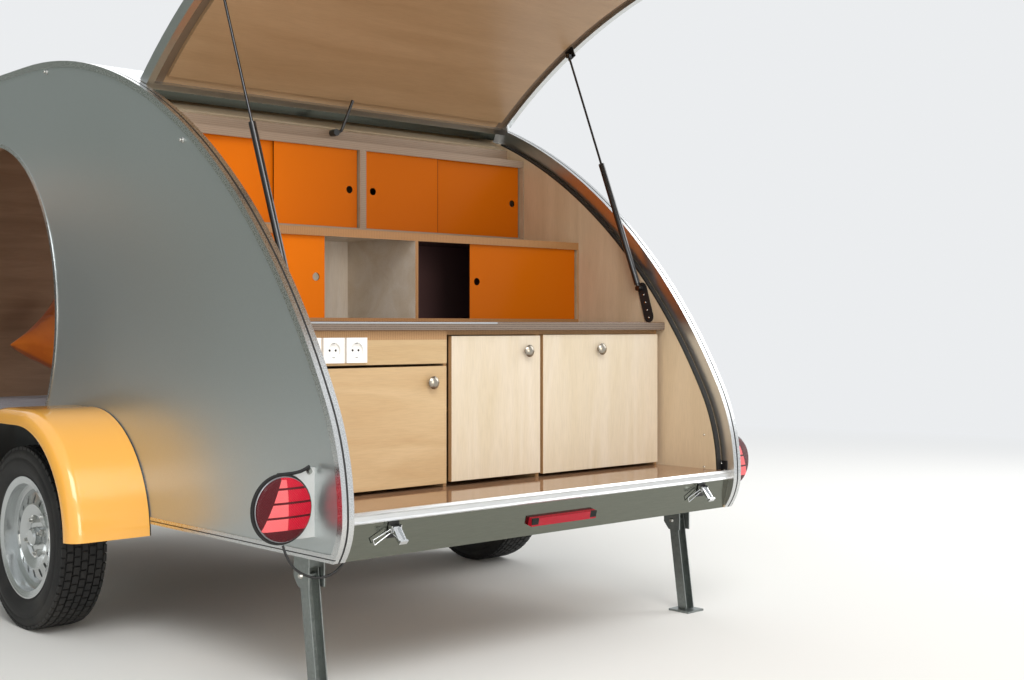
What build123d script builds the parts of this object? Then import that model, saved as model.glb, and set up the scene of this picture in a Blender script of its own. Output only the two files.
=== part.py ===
from build123d import *
from math import acos, asin, atan2, cos, degrees, hypot, pi, radians, sin, sqrt, tan
import os

os.makedirs("parts", exist_ok=True)

# A small teardrop trailer: two plywood side walls with a bent roof between them, a rear hatch over
# a galley, a cabin with two round doors, and a steel chassis with an A-frame drawbar.
# Millimetres. X runs across (+X is the right-hand side), Y forward, Z up from the ground.
# In the sketches, lengths along Y are counted from the rear corner of the body.

# Body shell
body_width = 1514
wall = 57                 # whole side wall
wall_skin = 32            # outer leaf of the wall, which goes past the hatch
under = 340               # lower edge of the side walls
crest_z = 1767            # highest line of the roof
rear_reach = 20           # how far the walls bulge behind the rear corner
back_radius = 1930
tail_radius = 600
heel_radius = 170         # lower rear corner, tucked in under the tail
tail_angle = 27.3         # from level to where the back meets the tail
roof_flat = 190
front_radius = 1120
nose_radius = 600
roof_thick = 30
shell_bottom = 345        # lower edge of the nose
rim_wide = 20             # aluminium edge profile, on the flat of the wall
rim_proud = 3

# Hatch
hatch_thick = 40
hatch_open = 63           # degrees
lining_thick = 12         # the inner lining, set in from the hatch's edges
lining_inset = 34
hatch_play = 5            # between the hatch and what it closes against
hinge_y = 1050
hinge_deep = 6            # hinge axis under the outer surface
hinge_gap = 9             # from the axis to the roof's edge and to the hatch's edge
seal_thick = 5
seal_wide = 20
frame_wide = 22
hook_bead = 5
rail_deep = 14            # hinge rail under the roof

# Doorways and doors
door_y = 2080
door_z = 945
door_half_long = 535
door_half_high = 585
door_sill = 470
door_corner = 70
door_play = 6
door_stand = 8            # flange over the wall
door_flange = 10
door_thick = 34
door_plate = 3            # thickness of the flange and of the hinge leaves
door_frame = 14           # aluminium frame round the doorway
door_open = 95            # degrees
door_hinge_out = 14       # hinge axis outside the wall
door_hinge_ahead = 16     # and ahead of the doorway's front
window_inset = 150
window_glass = 4
knuckle_r = 5
knuckle_long = 28
knuckle_apart = 240       # between the two hinges of a door

# Floor, cabin and galley
floor_top = 458
floor_thick = 18
board = 12
apron_sheet = 4
sill_high = 28
doors_front = 257         # front plane of the galley doors
doors_thick = 15
carcass_front = 277
foot_wall = 980           # cabin wall behind the galley, below
head_wall = 1200          # and above
counter_front = 240
counter_top = 918
counter_thick = 25
fascia_low = 802
dividers = (-203, 157)    # left faces of the two uprights in the base cabinet
shelf_z = 660
niche_front = 628
niche_top = 1192
upper_front = 903
upper_floor = niche_top
upper_top = 1497
lip_thick = 6
lip_low = 18
lip_high = 12
track_gap = 5
end_board = 4
slider = 4
header_y = 990
header_down = 8           # upper edge of the header under the hatch's rebate
mattress_thick = 160
cushion_size = 400
cushion_thick = 130
cushion_lean = 45         # degrees back from upright
cushion_roll = 45         # and turned on one corner

# Wheels, fenders and axle
axle_y = 1335
axle_z = 273.5            # the tyre's radius
tyre_wide = 155
bead_r = 165
rim_r = 182
wheel_out = 128           # wheel's middle outside the wall
slot_ring = 113
slot_count = 16
slot_long = 26
slot_wide = 12
arm_long = 150
axle_tube_r = 38
spindle_r = 17
fit = 0.3
fender_wide = 242
fender_r = 360
fender_flat = 62          # half the flat stretch on top
fender_z = 300
fender_bottom = 306
fender_skin = 4
fender_round = 42
fender_mouth_r = 315
fender_corner = 34

# Chassis and drawbar
rail_x = 540
rail_wide = 40
rail_low = 340
beam = 60
beam_low = 280
beam_start_y = 1640
beam_tip_y = 3990
beam_tip_x = 38
coupling_y = 4100         # centre of the tow ball
coupling_low = 342
coupling_high = 66
ball_r = 25.3

rail_start = 60           # rear end of the rails and first cross member
member_y = (760, 1500, 2280)
rail_end = 160            # from the front of the body to the rails' front end
last_member = 200

# Steady legs and jockey wheel
steady_in = 51            # from the body's outer face to the leg's middle
steady_y = 195
steady_z = 285
steady_lean = 8           # degrees
leg_deep = 34
leg_wide = 36
leg_sheet = 3
cheek_deep = 64
cheek_low = 256
foot_thick = 6
pin_r = 6
jockey_x = 285
jockey_y = 3720
jockey_r = 100
jockey_wide = 50
jockey_trail = 40
jockey_tube_r = 24
jockey_inner_r = 19
jockey_grip = (440, 490)  # height of the clamp on the tube
jockey_tube_low = 430
jockey_tube_top = 720
crank_z = 752
crank_long = 104

# Gas struts
strut_in = 20             # from the wall's inner face to the strut's centre line
strut_low_y = 335
strut_low_z = 1030
strut_reach = 450         # from the hatch's hinge to the strut's upper ball
strut_inset = 58          # upper ball under the hatch's outer surface
strut_tube_r = 10
strut_rod_r = 4
strut_tube_long = 452
eye_r = 9
eye_wide = 14
stud_plate_long = 135
stud_plate_wide = 38
stud_plate_lean = 17      # degrees from upright

# Worked out
half = body_width / 2
inside = half - wall
ledge = half - wall_skin
strut_x = inside - strut_in
steady_x = half - steady_in
rebate = hatch_thick + hatch_play + seal_thick
crest_y = (back_radius - tail_radius) * cos(radians(tail_angle)) + tail_radius - rear_reach
back_c = (crest_y, crest_z - back_radius)
tail_c = (back_c[0] - (back_radius - tail_radius) * cos(radians(tail_angle)),
          back_c[1] + (back_radius - tail_radius) * sin(radians(tail_angle)))
front_c = (crest_y + roof_flat, crest_z - front_radius)
nose_c = (front_c[0] + front_radius - nose_radius, front_c[1])
front_y = nose_c[0] + nose_radius
hinge_angle = 180 - degrees(acos((crest_y - hinge_y) / back_radius))
hinge_z = back_c[1] + (back_radius - hinge_deep) * sin(radians(hinge_angle))
hinge_at = back_c[0] + (back_radius - hinge_deep) * cos(radians(hinge_angle))
sill_top = floor_top
sill_low = sill_top - sill_high
heel_c = (tail_c[0] - tail_radius + heel_radius, tail_c[1])

# The apron leans under the sill with the walls' lower corner
apron_low_y = heel_c[0] - sqrt(heel_radius ** 2 - (heel_c[1] - under) ** 2) + apron_sheet
apron_lean = degrees(atan2(apron_low_y, sill_low - under))
coupling_tip = coupling_y + 45

# The open hatch's lip reaches furthest back, and the origin is the middle of the overall length
lip_z = sill_top + hatch_play
lip_y = tail_c[0] - sqrt(tail_radius ** 2 - (lip_z - tail_c[1]) ** 2)
swing = radians(hatch_open)
lip_reach = hinge_at + (lip_y - hinge_at) * cos(swing) + (lip_z - hinge_z) * sin(swing)
rear = -(coupling_tip + lip_reach) / 2

side = Plane((0, rear, 0), x_dir=(0, 1, 0), z_dir=(1, 0, 0))
plan = Plane((0, rear, 0), x_dir=(1, 0, 0), z_dir=(0, 0, 1))
back = Plane((0, rear, 0), x_dir=(1, 0, 0), z_dir=(0, -1, 0))
hinge_line = Axis((0, rear + hinge_at, hinge_z), (1, 0, 0))
apron_fold = Axis((0, rear, sill_low), (1, 0, 0))
sides = (("left", -1), ("right", 1))


def save(solid, name):
    """Label a finished piece and write it."""
    solid.label = name
    export_step(solid, f"parts/{name}.step")


def block(x, y, z):
    """A board between two places along each axis, with y from the rear corner."""
    with Locations(((x[0] + x[1]) / 2, rear + (y[0] + y[1]) / 2, (z[0] + z[1]) / 2)):
        Box(x[1] - x[0], y[1] - y[0], z[1] - z[0])


def rod(start, end, radius):
    """A round bar from one point to another, in the part's own frame."""
    line = Vector(*end) - Vector(*start)
    with BuildPart() as bar:
        with BuildSketch(Plane(start, z_dir=line)):
            Circle(radius)
        extrude(amount=line.length)
    return bar.part


def body_face(inset, bottom):
    """The teardrop outline, moved inwards by inset and cut off level at the bottom."""
    tail_r = tail_radius - inset
    heel_r = heel_radius - inset
    nose_r = nose_radius - inset
    drop = tail_c[1] - bottom
    tail_dip = degrees(asin(min(0, drop) / tail_r))
    nose_dip = degrees(asin((nose_c[1] - bottom) / nose_r))
    with BuildSketch() as face:
        with BuildLine():
            low_end = CenterArc(tail_c, tail_r, 180 + tail_dip, -tail_dip - tail_angle) @ 0
            if drop > 0:
                heel_dip = degrees(asin(min(1, drop / heel_r)))
                low_end = CenterArc(heel_c, heel_r, 180 + heel_dip, -heel_dip) @ 0
            if drop > heel_r:
                low_end = Line((heel_c[0], bottom), low_end) @ 0
            CenterArc(back_c, back_radius - inset, 180 - tail_angle, tail_angle - 90)
            Line((back_c[0], crest_z - inset), (front_c[0], crest_z - inset))
            CenterArc(front_c, front_radius - inset, 90, -90)
            nose = CenterArc(nose_c, nose_r, 0, -nose_dip)
            Line(nose @ 1, low_end)
        make_face()
    return face.sketch


def fan(start, size):
    """A wide wedge about the centre of the back's curve."""
    reach = 8000
    corners = [back_c]
    for step in range(5):
        angle = radians(start + size * step / 4)
        corners.append((back_c[0] + reach * cos(angle), back_c[1] + reach * sin(angle)))
    with BuildSketch() as wedge:
        with BuildLine():
            Polyline(*corners, close=True)
        make_face()
    return wedge.sketch


def shell_band(outer, inner, bottom, gap, ahead):
    """A stretch of the bent shell between two insets, behind or ahead of the hinge by a gap."""
    edge = degrees(gap / back_radius)
    wedge = fan(hinge_angle - edge, -140) if ahead else fan(hinge_angle + edge, 110)
    with BuildSketch() as band:
        add(body_face(outer, bottom))
        add(body_face(inner, bottom - 20), mode=Mode.SUBTRACT)
        add(wedge, mode=Mode.INTERSECT)
    return band.sketch


def doorway(grow):
    """The round doorway, larger or smaller by grow, with its level sill."""
    with BuildSketch() as face:
        with Locations((door_y, door_z)):
            Ellipse(door_half_long + grow, door_half_high + grow)
        with Locations((door_y, door_sill - grow)):
            Rectangle(3 * door_half_long, 2 * door_half_high, align=(Align.CENTER, Align.MAX),
                      mode=Mode.SUBTRACT)
        fillet(face.vertices().group_by(Axis.Y)[0], door_corner + grow)
    return face.sketch


def fender_face(radius, bottom):
    """The fender's arch: two quarter rounds with a flat stretch between them."""
    with BuildSketch() as face:
        with Locations((axle_y, fender_z)):
            SlotCenterToCenter(2 * fender_flat, 2 * radius)
        with Locations((axle_y, bottom)):
            Rectangle(4 * radius, 2 * radius, align=(Align.CENTER, Align.MAX), mode=Mode.SUBTRACT)
    return face.sketch


# Side walls: an outer leaf over the whole outline and an inner leaf that leaves room for the hatch
for name, s in sides:
    with BuildPart() as side_wall:
        with BuildSketch(side.offset(s * half)):
            add(body_face(0, under))
            add(doorway(0), mode=Mode.SUBTRACT)
        extrude(amount=-s * wall_skin)
        with BuildSketch(side.offset(s * ledge)):
            add(body_face(0, under))
            add(doorway(0), mode=Mode.SUBTRACT)
            add(shell_band(-20, rebate, under - 10, 0, False), mode=Mode.SUBTRACT)
        extrude(amount=s * (inside - ledge))
    save(side_wall.part, f"side_{name}")

# Aluminium profiles round each side wall, broken at the fender, and round each doorway
with BuildPart() as edge_trim:
    for name, s in sides:
        with BuildSketch(side.offset(s * half)):
            add(body_face(0, under))
            add(body_face(rim_wide, under + rim_wide), mode=Mode.SUBTRACT)
            add(fender_face(fender_r + 4, under - 20), mode=Mode.SUBTRACT)
        extrude(amount=s * rim_proud)
        with BuildSketch(side.offset(s * half)):
            add(doorway(door_frame))
            add(doorway(0), mode=Mode.SUBTRACT)
        extrude(amount=s * 2)
save(edge_trim.part, "edge_trim")

# Roof, front and nose in one bent panel
with BuildPart() as roof_shell:
    with BuildSketch(side.offset(-inside)):
        add(shell_band(0, roof_thick, shell_bottom, hinge_gap, True))
    extrude(amount=2 * inside)
save(roof_shell.part, "roof_shell")

# Floor, cut to the nose's curve
with BuildPart() as floor_deck:
    with BuildSketch(side.offset(-inside)):
        add(body_face(roof_thick, floor_top - floor_thick))
        with Locations((apron_sheet, floor_top - floor_thick)):
            Rectangle(100, floor_thick, align=(Align.MIN, Align.MIN))
        with Locations((apron_sheet, floor_top)):
            Rectangle(2 * front_y, 2 * crest_z, align=(Align.MIN, Align.MIN), mode=Mode.SUBTRACT)
        with Locations((apron_sheet, 0)):
            Rectangle(500, 2 * crest_z, align=(Align.MAX, Align.MIN), mode=Mode.SUBTRACT)
    extrude(amount=2 * inside)
save(floor_deck.part, "floor_deck")

# Cabin wall behind the galley, stepped over the sleepers' feet
with BuildPart() as bulkhead:
    with BuildSketch(side.offset(-inside)):
        with Locations((foot_wall, floor_top)):
            Rectangle(board, upper_floor - floor_top, align=(Align.MIN, Align.MIN))
        with Locations((foot_wall, upper_floor)):
            Rectangle(head_wall + board - foot_wall, board, align=(Align.MIN, Align.MAX))
        with Locations((head_wall, upper_floor - board)):
            Rectangle(board, crest_z, align=(Align.MIN, Align.MIN))
        add(body_face(roof_thick, under), mode=Mode.INTERSECT)
    extrude(amount=2 * inside)
save(bulkhead.part, "bulkhead")

# Rear apron sheet with a return under the body, and the sill profile over it
with BuildPart() as rear_apron:
    with BuildSketch(side.offset(-ledge)):
        with BuildLine():
            Polyline((0, sill_low), (apron_low_y, under), (apron_low_y + 36, under),
                     (apron_low_y + 36, under + apron_sheet), (apron_low_y + apron_sheet, under + apron_sheet),
                     (apron_sheet, sill_low), close=True)
        make_face()
    extrude(amount=2 * ledge)
    with BuildSketch(side.offset(-ledge)):
        with BuildLine():
            Polyline((apron_sheet, sill_low), (-6, sill_low), (-9, sill_low + 3), (-6, sill_low + 8),
                     (-6, sill_top - 10), (-9, sill_top - 6), (-3, sill_top), (apron_sheet, sill_top),
                     close=True)
        make_face()
    extrude(amount=2 * ledge)
save(rear_apron.part, "rear_apron")

# Rubber seal on the inner leaf's edge, where the hatch closes
with BuildPart() as hatch_seal:
    for name, s in sides:
        with BuildSketch(side.offset(s * inside)):
            add(shell_band(rebate - seal_thick, rebate, sill_top, hinge_gap + 40, False))
        extrude(amount=s * seal_wide)
save(hatch_seal.part, "hatch_seal")

# Base cabinet: ends, dividers, rail, fascia and a shelf behind the doors
rail_z = counter_top - counter_thick
door_bays = (
    ("left", -inside + 20, dividers[0] - 3, floor_top + 10, fascia_low - 7),
    ("middle", dividers[0] + board + 3, dividers[1], floor_top + 13, rail_z - 15),
    ("right", dividers[1] + board, inside - 15, floor_top + 9, rail_z - 13),
)
with BuildPart() as base_cabinet:
    for x in (-inside, *dividers, inside - board):
        block((x, x + board), (carcass_front, foot_wall), (floor_top, rail_z))
    block((-inside, inside), (carcass_front, carcass_front + 60), (rail_z - board, rail_z))
    block((-inside, dividers[0] - 3), (doors_front, carcass_front), (fascia_low, rail_z))
    block((dividers[0] + board, dividers[1]), (carcass_front + 40, foot_wall), (shelf_z, shelf_z + board))
save(base_cabinet.part, "base_cabinet")

with BuildPart() as countertop:
    block((-inside, inside), (counter_front, foot_wall), (rail_z, counter_top))
    fillet(countertop.edges().filter_by(Axis.X).group_by(Axis.Y)[0], 3)
save(countertop.part, "countertop")

# Niche row on the counter, with a lip that hides the sliding panels' edges
with BuildPart() as niche_cabinet:
    for x in (-inside, -19, inside - end_board):
        wide = end_board if abs(x) > 100 else board
        block((x, x + wide), (niche_front, foot_wall), (counter_top, niche_top - board))
    block((-inside, inside), (niche_front, foot_wall), (niche_top - board, niche_top))
    block((-inside, inside), (niche_front, niche_front + lip_thick),
          (niche_top - board - lip_high, niche_top - board))
    block((-inside, inside), (niche_front, niche_front + lip_thick),
          (counter_top, counter_top + lip_high))
save(niche_cabinet.part, "niche_cabinet")

# Upper cupboards, with the board that closes the space up to the hinge
post_x = (-25, -1)
with BuildPart() as upper_cabinet:
    for x, wide in ((-inside, end_board), (post_x[0], post_x[1] - post_x[0]),
                    (inside - end_board, end_board)):
        block((x, x + wide), (upper_front, head_wall), (upper_floor, upper_top))
    for z in (upper_floor, upper_top - board):
        block((-inside, inside), (upper_front, head_wall), (z, z + board))
    block((-inside, inside), (upper_front, upper_front + lip_thick),
          (upper_floor + board, upper_floor + board + lip_low))
    block((-inside, inside), (upper_front, upper_front + lip_thick),
          (upper_top - board - lip_high, upper_top - board))
    with BuildSketch(side.offset(-inside)):
        with Locations((header_y, upper_top)):
            Rectangle(board, 300, align=(Align.MIN, Align.MIN))
        add(body_face(rebate + header_down, under), mode=Mode.INTERSECT)
    extrude(amount=2 * inside)
    with BuildSketch(side.offset(-inside)):
        add(shell_band(rebate + header_down - 1, rebate + header_down + board, under, -60, True))
        with Locations((header_y + board / 2, crest_z)):
            Rectangle(96, 2 * crest_z, align=(Align.MIN, Align.MAX), mode=Mode.INTERSECT)
    extrude(amount=2 * inside)
save(upper_cabinet.part, "upper_cabinet")

# Sliding panels: name, left edge, right edge, floor, ceiling, cabinet front, track, and the side
# of the finger hole (+1 right, -1 left)
sliders = (
    ("niche_panel_left", end_board + track_gap - inside, -349, counter_top, niche_top - board, niche_front, 0, 1),
    ("niche_panel_right", 213, inside - end_board - track_gap, counter_top, niche_top - board, niche_front, 0, -1),
    ("upper_panel_1", end_board + track_gap - inside, -325, upper_floor + board, upper_top - board, upper_front, 1, -1),
    ("upper_panel_2", -345, -30, upper_floor + board, upper_top - board, upper_front, 0, 1),
    ("upper_panel_3", 4, 309, upper_floor + board, upper_top - board, upper_front, 0, -1),
    ("upper_panel_4", 289, inside - end_board - track_gap, upper_floor + board, upper_top - board, upper_front, 1, 1),
)
finger_r = 12
finger_in = 30
for name, x0, x1, low, high, front, track, hole_side in sliders:
    y0 = front + lip_thick + track_gap + track * (slider + track_gap)
    hole_x = x1 - finger_in if hole_side > 0 else x0 + finger_in
    with BuildPart() as panel:
        block((x0, x1), (y0, y0 + slider), (low + track_gap, high - track_gap))
        with Locations(back.offset(-y0)):
            with Locations((hole_x, (low + high) / 2)):
                Hole(finger_r)
    save(panel.part, name)

# Galley doors with their knobs: the right-hand one is a flap, with its knob in the middle
knob_r = 18
knob_out = 25
knob_in = 58
knob_down = 45
for name, x0, x1, z0, z1 in door_bays:
    knob_x = (x0 + x1) / 2 - 18 if name == "right" else x1 - knob_in
    knob_z = z1 - knob_down
    with BuildPart() as leaf:
        block((x0, x1), (doors_front, doors_front + doors_thick), (z0, z1))
        fillet(leaf.edges().group_by(Axis.Y)[0], 1.5)
        with BuildSketch(plan.offset(knob_z)):
            with BuildLine():
                Polyline((knob_x, doors_front + 2), (knob_x + 7, doors_front + 2),
                         (knob_x + 7, doors_front - 10), (knob_x + knob_r, doors_front - 16))
                TangentArc((knob_x, doors_front - knob_out), (knob_x + knob_r, doors_front - 16),
                           tangent=(1, 0))
                Line((knob_x, doors_front - knob_out), (knob_x, doors_front + 2))
            make_face()
        revolve(axis=Axis((knob_x, rear, knob_z), (0, 1, 0)))
    save(leaf.part, f"galley_door_{name}")

# Three socket outlets in the fascia
socket_half = 33
socket_z = rail_z - 51
with BuildPart() as sockets:
    for count in range(3):
        x = 34 - inside + 73 * count
        block((x - socket_half, x + socket_half), (doors_front - 9, doors_front),
              (socket_z - socket_half, socket_z + socket_half))
        with Locations(back.offset(-(doors_front - 9))):
            with Locations((x, socket_z)):
                Hole(20, depth=7)
save(sockets.part, "sockets")

# Hatch: a bent panel in an aluminium frame with the hinge's bead on it, shown open
panel_half = ledge - hatch_play - frame_wide
with BuildPart() as hatch:
    with BuildSketch(side.offset(-panel_half)):
        add(shell_band(0, hatch_thick - lining_thick, lip_z + frame_wide, hinge_gap + frame_wide, False))
    extrude(amount=2 * panel_half)
    with BuildSketch(side.offset(lining_inset - panel_half)):
        add(shell_band(hatch_thick - lining_thick - 1, hatch_thick, lip_z + frame_wide + lining_inset,
                       hinge_gap + frame_wide + lining_inset, False))
    extrude(amount=2 * (panel_half - lining_inset))
save(hatch.part.rotate(hinge_line, -hatch_open), "hatch")

hinge_plane = Plane((0, rear + hinge_at, hinge_z), x_dir=(0, 1, 0), z_dir=(1, 0, 0))
tilt = hinge_angle - 90
reach_r = back_radius - strut_inset
hinge_r = back_radius - hinge_deep
turn = acos((hinge_r ** 2 + reach_r ** 2 - strut_reach ** 2) / (2 * hinge_r * reach_r))
top_angle = radians(hinge_angle) + turn
top_shut = (back_c[0] + reach_r * cos(top_angle), back_c[1] + reach_r * sin(top_angle))
stud_r = 6
stud_gap = 1
stud_foot = inside - hatch_play
with BuildPart() as hatch_frame:
    with BuildSketch(side.offset(-panel_half - frame_wide)):
        add(shell_band(0, hatch_thick, lip_z, hinge_gap, False))
    extrude(amount=2 * (panel_half + frame_wide))
    with BuildSketch(side.offset(-panel_half)):
        add(shell_band(-10, hatch_thick + 10, lip_z + frame_wide, hinge_gap + frame_wide, False))
    extrude(amount=2 * panel_half, mode=Mode.SUBTRACT)
    with BuildSketch(hinge_plane.offset(-(inside - 2))):
        Circle(hook_bead)
        with Locations(Rotation(0, 0, tilt)):
            with Locations((-hinge_gap / 2 - 2, 0)):
                Rectangle(hinge_gap + 4, 4)
    extrude(amount=2 * (inside - 2))
    for name, s in sides:
        with BuildSketch(Plane((s * stud_foot, rear + top_shut[0], top_shut[1]),
                               x_dir=(0, sin(top_angle), -cos(top_angle)), z_dir=(1, 0, 0))):
            with Locations((0, (strut_inset - hatch_thick) / 2 - 2)):
                Rectangle(34, strut_inset - hatch_thick + 12)
        extrude(amount=-s * 4)
        with BuildSketch(Plane((s * (stud_foot - 4), rear + top_shut[0], top_shut[1]),
                               x_dir=(0, sin(top_angle), -cos(top_angle)), z_dir=(1, 0, 0))):
            with Locations((0, strut_inset - hatch_thick + 7)):
                Rectangle(34, 8)
        extrude(amount=s * (panel_half + 6 - stud_foot))
        with BuildSketch(side.offset(s * stud_foot)):
            with Locations(top_shut):
                Circle(stud_r)
        extrude(amount=-s * (stud_foot - strut_x - eye_wide / 2 - stud_gap))
save(hatch_frame.part.rotate(hinge_line, -hatch_open), "hatch_frame")

# Fixed half of the hinge: a rail under the roof's edge with a curled cradle round the bead
with BuildPart() as hinge_rail:
    with BuildSketch(hinge_plane.offset(-inside)):
        with Locations(Rotation(0, 0, tilt)):
            with Locations((-4, hinge_deep - roof_thick - rail_deep)):
                Rectangle(60, rail_deep, align=(Align.MIN, Align.MIN))
                Rectangle(12, rail_deep + roof_thick - hinge_deep - 3, align=(Align.MIN, Align.MIN))
        Circle(hook_bead + fit, mode=Mode.SUBTRACT)
    extrude(amount=2 * inside)
    with BuildSketch(side.offset(-inside)):
        add(shell_band(-20, roof_thick, shell_bottom, hinge_gap, True))
    extrude(amount=2 * inside, mode=Mode.SUBTRACT)
save(hinge_rail.part, "hinge_rail")

# Gas struts. The lower ball is on the wall, the upper on the hatch, shown with the hatch open
away = (top_shut[0] - hinge_at, top_shut[1] - hinge_z)
top_open = (hinge_at + away[0] * cos(swing) + away[1] * sin(swing),
            hinge_z - away[0] * sin(swing) + away[1] * cos(swing))
strut_long = hypot(top_open[0] - strut_low_y, top_open[1] - strut_low_z)
strut_shut = hypot(top_shut[0] - strut_low_y, top_shut[1] - strut_low_z)
strut_dir = ((top_open[0] - strut_low_y) / strut_long, (top_open[1] - strut_low_z) / strut_long)
open_angle = atan2(top_open[1] - strut_low_z, top_open[0] - strut_low_y)
shut_angle = atan2(top_shut[1] - strut_low_z, top_shut[0] - strut_low_y)
print("strut open", round(strut_long, 2), "shut", round(strut_shut, 2),
      "turn", round(degrees(shut_angle - open_angle), 3))
print("strut foot y", round(rear + strut_low_y, 2), "z", strut_low_z,
      "direction", round(strut_dir[0], 6), round(strut_dir[1], 6))
print("hinge y", round(rear + hinge_at, 3), "z", round(hinge_z, 3), "rear", round(rear, 3))


def along(x, distance):
    """A point on a strut's centre line, measured from its lower ball."""
    return (x, rear + strut_low_y + strut_dir[0] * distance, strut_low_z + strut_dir[1] * distance)


for name, s in sides:
    x = s * strut_x
    with BuildPart() as strut_tube:
        add(rod(along(x, 14), along(x, strut_tube_long), strut_tube_r))
        add(rod(along(x, 0), along(x, 16), eye_wide / 2 - 1))
        add(rod(along(x - eye_wide / 2, 0), along(x + eye_wide / 2, 0), eye_r))
        add(rod(along(x, 40), along(x, strut_tube_long + 5), strut_rod_r + 0.5), mode=Mode.SUBTRACT)
    save(strut_tube.part, f"strut_tube_{name}")
    with BuildPart() as strut_rod:
        add(rod(along(x, strut_tube_long - 20), along(x, strut_long), strut_rod_r))
        add(rod(along(x - eye_wide / 2, strut_long), along(x + eye_wide / 2, strut_long), eye_r))
    save(strut_rod.part, f"strut_rod_{name}")

# Plates on the walls that carry the lower studs
with BuildPart() as wall_brackets:
    for name, s in sides:
        with BuildSketch(side.offset(s * inside)):
            with Locations((strut_low_y, strut_low_z)):
                with Locations(Rotation(0, 0, 90 - stud_plate_lean)):
                    with Locations((stud_plate_wide / 2 - stud_plate_long / 2, 0)):
                        SlotOverall(stud_plate_long, stud_plate_wide)
        extrude(amount=-s * 3)
        with BuildSketch(side.offset(s * inside)):
            with Locations((strut_low_y, strut_low_z)):
                Circle(stud_r)
        extrude(amount=-s * (inside - strut_x - eye_wide / 2 - stud_gap))
save(wall_brackets.part, "wall_brackets")

# Gooseneck lamp on the header: a base that turns, with a bent stalk
lamp_x = -75
lamp_z = 1532
lamp_turn_y = 968
lamp_tip = (-20, 950, 1640)
stalk_r = 5
with BuildPart() as galley_lamp:
    with BuildSketch(back.offset(-header_y)):
        with Locations((lamp_x, lamp_z)):
            Circle(11)
    extrude(amount=header_y - lamp_turn_y + 6)
    with BuildLine() as stalk_line:
        FilletPolyline((lamp_x, rear + lamp_turn_y, lamp_z),
                       (lamp_x + 20, rear + lamp_turn_y - 2, lamp_z + 6),
                       (lamp_tip[0], rear + lamp_tip[1], lamp_tip[2]), radius=14)
    with BuildSketch(Plane(stalk_line.line @ 0, z_dir=stalk_line.line % 0)):
        Circle(stalk_r)
    sweep(path=stalk_line.line)
save(galley_lamp.part, "galley_lamp")

# Side doors, modelled shut and turned open about their front hinges
hinge_heights = (door_z - knuckle_apart / 2, door_z + knuckle_apart / 2)
for name, s in sides:
    turn_line = Axis((s * (half + door_hinge_out), rear + door_y + door_half_long + door_hinge_ahead, 0),
                     (0, 0, 1))
    with BuildPart() as door:
        with BuildSketch(side.offset(s * half)):
            add(doorway(-door_play))
            with Locations((door_y, door_z)):
                Ellipse(door_half_long - window_inset, door_half_high - window_inset, mode=Mode.SUBTRACT)
        extrude(amount=-s * door_thick)
        with BuildSketch(side.offset(s * half)):
            add(doorway(-door_play))
            add(doorway(-door_flange - 10), mode=Mode.SUBTRACT)
        extrude(amount=s * door_stand)
        with BuildSketch(side.offset(s * (half + door_stand))):
            add(doorway(door_flange))
            add(doorway(-door_flange - 10), mode=Mode.SUBTRACT)
        extrude(amount=s * door_plate)
        turn_y = door_y + door_half_long + door_hinge_ahead
        leaf_x = sorted((s * (half + door_stand), s * (half + door_hinge_out)))
        for z in hinge_heights:
            block(leaf_x, (turn_y - 62, turn_y - knuckle_r - 1), (z - knuckle_long, z + knuckle_long))
            for end in (-1, 1):
                z0, z1 = sorted((z + end * (knuckle_long / 2 + 0.5), z + end * knuckle_long))
                block(leaf_x, (turn_y - knuckle_r - 2, turn_y), (z0, z1))
                add(rod((s * (half + door_hinge_out), rear + turn_y, z0),
                        (s * (half + door_hinge_out), rear + turn_y, z1), knuckle_r))
        handle_y = door_y - door_half_long + 70
        block(sorted((s * half, s * (half + 12))), (handle_y - 18, handle_y + 18), (door_z - 60, door_z + 20))
        add(rod((s * half, rear + handle_y, door_z), (s * (half + 34), rear + handle_y, door_z), 8))
        block(sorted((s * (half + 26), s * (half + 38))), (handle_y - 9, handle_y + 9),
              (door_z - 80, door_z + 10))
    with BuildPart() as pane:
        with BuildSketch(side.offset(s * (half - door_thick / 2))):
            with Locations((door_y, door_z)):
                Ellipse(door_half_long - window_inset, door_half_high - window_inset)
        extrude(amount=-s * window_glass)
    for label, piece in ((f"door_{name}", door), (f"pane_{name}", pane)):
        save(piece.part.rotate(turn_line, s * door_open), label)

# Fixed halves of the door hinges: a pad on the wall with the middle knuckle
with BuildPart() as door_hinges:
    for name, s in sides:
        turn_x = s * (half + door_hinge_out)
        turn_y = door_y + door_half_long + door_hinge_ahead
        for z in hinge_heights:
            block(sorted((s * half, s * (half + 4))), (turn_y + knuckle_r + 2, turn_y + 44),
                  (z - knuckle_long, z + knuckle_long))
            block(sorted((s * (half + 2), turn_x)), (turn_y, turn_y + 20),
                  (z - knuckle_long / 2, z + knuckle_long / 2))
            add(rod((turn_x, rear + turn_y, z - knuckle_long / 2),
                    (turn_x, rear + turn_y, z + knuckle_long / 2), knuckle_r))
save(door_hinges.part, "door_hinges")

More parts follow.
